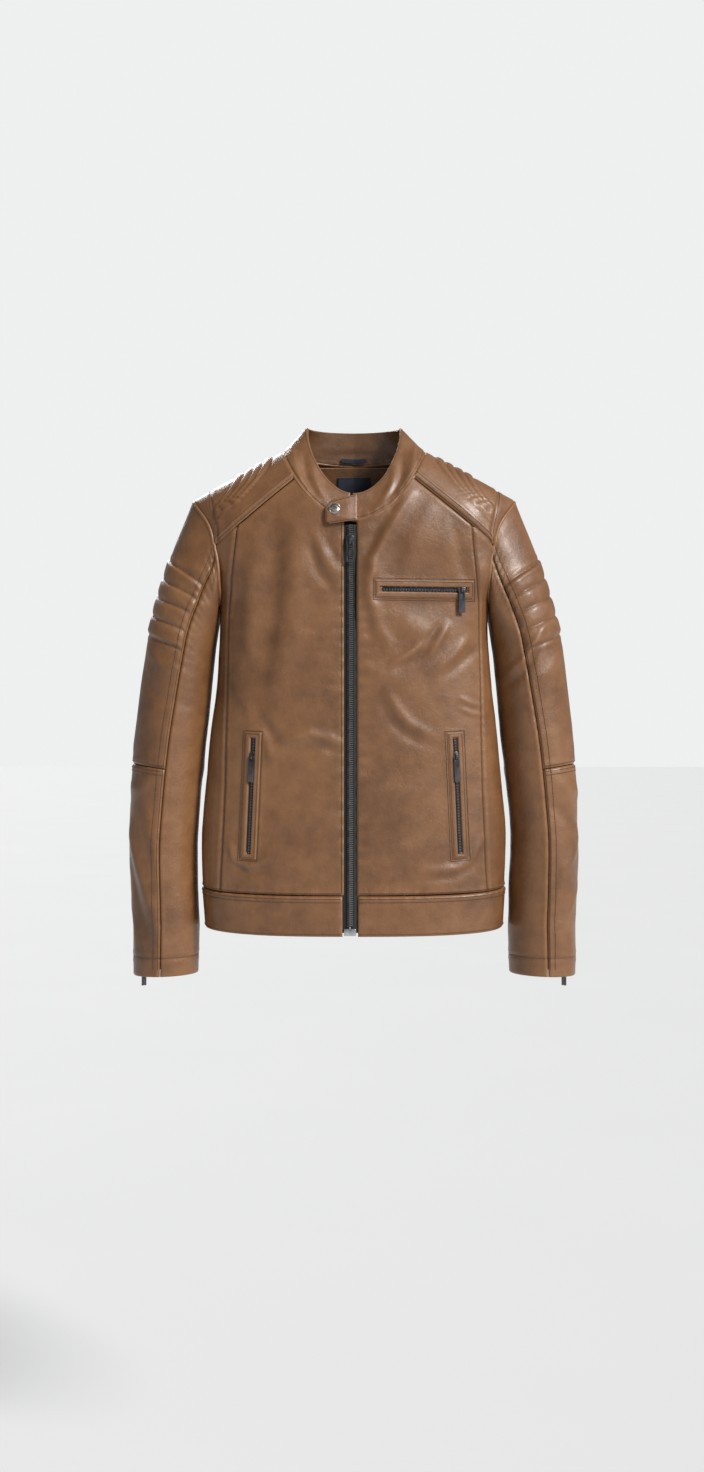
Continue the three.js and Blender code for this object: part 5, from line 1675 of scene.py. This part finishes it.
for name, side in SIDES.items():
    parts = []
    offset = 0.0 if side > 0 else FINE_PITCH / 2
    for i in range(int((chain_length - 3) / FINE_PITCH)):
        parts += front_tooth(side, -1.5 - offset - i * FINE_PITCH)
    parts = placed_parts(parts, ZIP_TOP_POINT, zip_right, zip_out, zip_up)
    teeth = gather(f"main_zip_teeth_row_{name}", parts, looks["dark_teeth"], smooth=False)
    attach(teeth, "torso")
    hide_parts(f"main_zip_teeth_{name}")
    down, wide = np.meshgrid(np.linspace(0.5, chain_length + 6, 260), np.linspace(0.4, 14.5, 10), indexing="ij")
    layers = []
    for depth in (0.9, 1.9):
        local = np.stack([side * wide, depth + 0.35 * ease((wide - 4) / 5) + 0.8 * ease((wide - 6) / 3), -down], -1)
        layers.append(local @ np.stack([zip_right, -zip_out, zip_up]) + ZIP_TOP_POINT)
    tape = tape_strip(layers, looks["zip_tape"], f"main_zip_tape_woven_{name}")
    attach(tape, "torso")
    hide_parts(f"main_zip_tape_{name}")
    run = np.linspace(2, chain_length + 2, 500)
    edge = np.stack([side * (4.9 + 0 * run), 0.75 + 0 * run, -run], -1) @ np.stack([zip_right, -zip_out, zip_up])
    seam = gather(f"main_zip_tape_stitching_{name}", stitch_parts(edge + ZIP_TOP_POINT, 2.6, 0.24), looks["dark_thread"])
    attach(seam, "torso")

# ---- cuff zips ----------------------------------------------------------------------------------
for name, side in SIDES.items():
    low, high = [smooth_sleeve(np.array(t), np.array(float(back_seam(t)) + 360))[0] for t in (0.995, CUFF_ZIP_TOP)]
    centre = ring(np.array(1.0), np.array(float(back_seam(1))))[0]
    up = (high - low) / np.linalg.norm(high - low)
    out = low - centre
    out -= up * (out @ up)
    out /= np.linalg.norm(out)
    chain = fine_chain(np.linalg.norm(high - low) - 6, 2.1, 2.0, 0.9)
    right = np.cross(-out, up)
    mirror = np.array([side, 1, 1])
    parts = [(p * mirror, f) for p, f in placed_parts(chain, low - out * 0.6, right, out, up)]
    teeth = gather(f"cuff_zip_teeth_{name}", parts, looks["gunmetal"], smooth=False)
    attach(teeth, f"sleeve_{name}")
    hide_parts(f"cuff_zip_chain_{name}")
    down, wide = np.meshgrid(np.linspace(0, np.linalg.norm(high - low) - 3, 60), np.linspace(-7.5, 7.5, 9), indexing="ij")
    layers = []
    for depth in (0.5, 1.3):
        local = np.stack([wide, depth + 0.4 + 0.6 * ease((np.abs(wide) - 3.5) / 3), down], -1)
        layers.append((local @ np.stack([right, -out, up]) + low) * mirror)
    tape = tape_strip(layers, looks["zip_tape"], f"cuff_zip_tape_{name}")
    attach(tape, f"sleeve_{name}")

# ---- topstitching of the leather ----------------------------------------------------------------
def stitched_rows(name, rows, body=None):
    obj = gather(name, [part for row in rows for part in row], looks["thread"])
    if body:
        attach(obj, body)
    else:
        sleeve_bend(obj)
    return obj


for name, side in SIDES.items():
    rows = []
    low_z, high_z = float(hem_seam(0)) + 4, -NECK_DROP_FRONT - 4
    z = np.linspace(low_z, high_z, 700)
    x = side * FRONT_X + ZIP_HALF + 3.6 + 0 * z
    rows.append(body_stitches(flat(x, z), side))
    v = np.linspace(0.008, 0.992, 700)
    angle, z = princess_line(v)
    rows.append(body_stitches((angle - 0.95, z), side))
    for lift in (2.8, 9.0):
        x = np.linspace(yoke_neck[0] + 4, yoke_arm[0] - 3, 260)
        rows.append(body_stitches(flat(x, yoke_z(x) + lift), side))
    z = np.linspace(-54, yoke_z(190) + 4, 160)
    rows.append(body_stitches(flat(cap_x(z) + 2.6, z), side))
    for below in (-3.4, 4.0, 8.6):
        angle = np.linspace(float(angle_at(FRONT_X * side + HEM_OPENING + 3, -607)), SIDE_SEAM_ANGLE - 1, 500)
        rows.append(body_stitches((angle, hem_seam(angle) - below), side, 0.1 if below < 0 else 1.1))
    angle = np.linspace(float(angle_at(FRONT_X * side + HEM_OPENING + 3, -607)), SIDE_SEAM_ANGLE - 1, 500)
    rows.append(body_stitches((angle, hem_seam(angle) - HEM_HEIGHT + 3.5), side, 1.1))
    for start in QUILT_STARTS:
        drop = np.linspace(1.5, 96, 200)
        x = start + QUILT_SWEEP * drop * drop
        z = shoulder_line(x) - drop
        keep = (x < cap_x(z) - 1.5) & (z > yoke_z(x) + 11)
        if keep.sum() > 12:
            rows.append(body_stitches(flat(x[keep], z[keep]), side, -0.15))
    stitched_rows(f"topstitching_{name}", rows, body="torso")
rows = []
angle = np.linspace(SIDE_SEAM_ANGLE + 1, 359 - SIDE_SEAM_ANGLE, 900)
for below, lift in ((-3.4, 0.1), (4.0, 1.1), (8.6, 1.1), (HEM_HEIGHT - 3.5, 1.1)):
    rows.append(body_stitches((angle, hem_seam(angle) - below), 1, lift))
for above in (-3.0, 3.0):
    angle = np.linspace(float(back_yoke_end[0]) + 2, 358 - float(back_yoke_end[0]), 700)
    rows.append(body_stitches((angle, -BACK_YOKE_DROP + above + 0 * angle), 1))
stitched_rows("topstitching_back", rows, body="torso")
turn = np.linspace(collar_start + 2, collar_end - 2, 1600)
rows = [collar_stitches(turn, 0.085 + 0 * turn), collar_stitches(turn, 0.92 + 0 * turn)]
stitched_rows("topstitching_collar", rows, body="torso")

for name, side in SIDES.items():
    rows = []
    t = np.linspace(0.01, 0.985, 1100)
    for shift in (-3.4, -12.5):
        rows.append(sleeve_stitches(t, front_seam(t) + shift, side))
    t_back = np.linspace(0.01, CUFF_ZIP_TOP, 900)
    rows.append(sleeve_stitches(t_back, 360 + back_seam(t_back) + 4, side))
    turn = np.linspace(float(back_seam(ELBOW)) + 4, float(front_seam(ELBOW)) - 4, 500)
    for shift in (-0.005, 0.005, 0.0115):
        rows.append(sleeve_stitches(ELBOW + shift + 0 * turn, turn, side))
    turn = np.linspace(float(back_seam(1)) + 12, 360 + float(back_seam(1)) - 12, 900)
    rows.append(sleeve_stitches(0.962 + 0 * turn, turn, side))
    for outer_z, front_z in zip(QUILT_OUTER_Z, QUILT_FRONT_Z):
        turn = np.linspace(-62, 96, 320)
        share = np.where(turn >= 0, turn / 99, -turn / 74)
        goal = mix(outer_z, front_z, share ** 1.35)
        table = np.linspace(0.005, 0.5, 120)
        heights = smooth_sleeve(table[:, None], turn[None, :])[0][..., 2]
        place = np.array([np.interp(-goal[i], -heights[:, i], table) for i in range(len(turn))])
        rows.append(sleeve_stitches(place, turn, side, -0.1))
    stitched_rows(f"topstitching_sleeve_{name}", rows)

# the tab's edge stitching
t = np.linspace(0, 1, 120)
inset_u, inset_v = 2.6 / 43, 2.6 / 36
us = np.concatenate([mix(inset_u, 1 - inset_u, t), 1 - inset_u + 0 * t, mix(1 - inset_u, inset_u, t)])
vs = np.concatenate([inset_v + 0 * t, mix(inset_v, 1 - inset_v, t), 1 - inset_v + 0 * t])
edge_line = tab_surface(us, vs, -0.15)
tab_thread = gather("tab_stitching", stitch_parts(edge_line, 3.0, 0.36), looks["thread"])
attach(tab_thread, "collar_tab")


# ---- floor, light and camera --------------------------------------------------------------------
FLOOR_Z = -1620
FLOOR_HALF = 60000


def pale_floor():
    """A plain pale floor well below the jacket, which hangs free above it."""
    s = Shader("pale_floor")
    where = s.coordinates()
    shade = s.ramp(s.noise(where, 1.2, 2), [(0.2, (0.635, 0.638, 0.641)), (0.8, (0.65, 0.652, 0.654))])
    normal = s.bump(s.noise(where, 60, 3), 0.03, 0.001)
    material = s.finish(shade, 0.85, normal)
    corners = [(-1, -1), (1, -1), (1, 1), (-1, 1)]
    points = np.array([(x * FLOOR_HALF, y * FLOOR_HALF, FLOOR_Z) for x, y in corners])
    add_mesh("pale_floor", points, [(0, 1, 2, 3)], material)


def soft_light(name, place, power, spread, color):
    """A broad distant lamp that shines from place towards the jacket."""
    lamp = bpy.data.lights.new(name, "SUN")
    lamp.energy = power
    lamp.angle = math.radians(spread)
    lamp.color = color
    obj = bpy.data.objects.new(name, lamp)
    obj.rotation_euler = (Vector(MIDDLE) - Vector(place)).to_track_quat("-Z", "Y").to_euler()
    collection.objects.link(obj)


pale_floor()
MIDDLE = (0, 0, -0.36)
soft_light("key", (1.9, -1.75, 1.5), 3.9, 15, (1.0, 0.99, 0.975))
soft_light("back", (-0.7, 2.2, 0.95), 1.6, 25, (0.98, 0.99, 1.0))

world = bpy.data.worlds.new("studio")
world.use_nodes = True
ambient = world.node_tree.nodes["Background"]
ambient.inputs["Color"].default_value = (0.95, 0.965, 1.0, 1)
ambient.inputs["Strength"].default_value = 0.26
paper = world.node_tree.nodes.new("ShaderNodeBackground")
paper.inputs["Color"].default_value = (0.86, 0.865, 0.87, 1)
rays = world.node_tree.nodes.new("ShaderNodeLightPath")
choice = world.node_tree.nodes.new("ShaderNodeMixShader")
links = world.node_tree.links
links.new(rays.outputs["Is Camera Ray"], choice.inputs[0])
links.new(ambient.outputs[0], choice.inputs[1])
links.new(paper.outputs[0], choice.inputs[2])
links.new(choice.outputs[0], world.node_tree.nodes["World Output"].inputs["Surface"])
bpy.context.scene.world = world
bpy.context.scene.view_settings.view_transform = "Standard"

camera_data = bpy.data.cameras.new("camera")
camera_data.sensor_width = 36
camera_data.lens = 38.433
camera = bpy.data.objects.new("camera", camera_data)
camera.location = (-0.0028, -2.2, -0.396)
camera.rotation_euler = (math.pi / 2, 0, 0)
collection.objects.link(camera)
bpy.context.scene.camera = camera
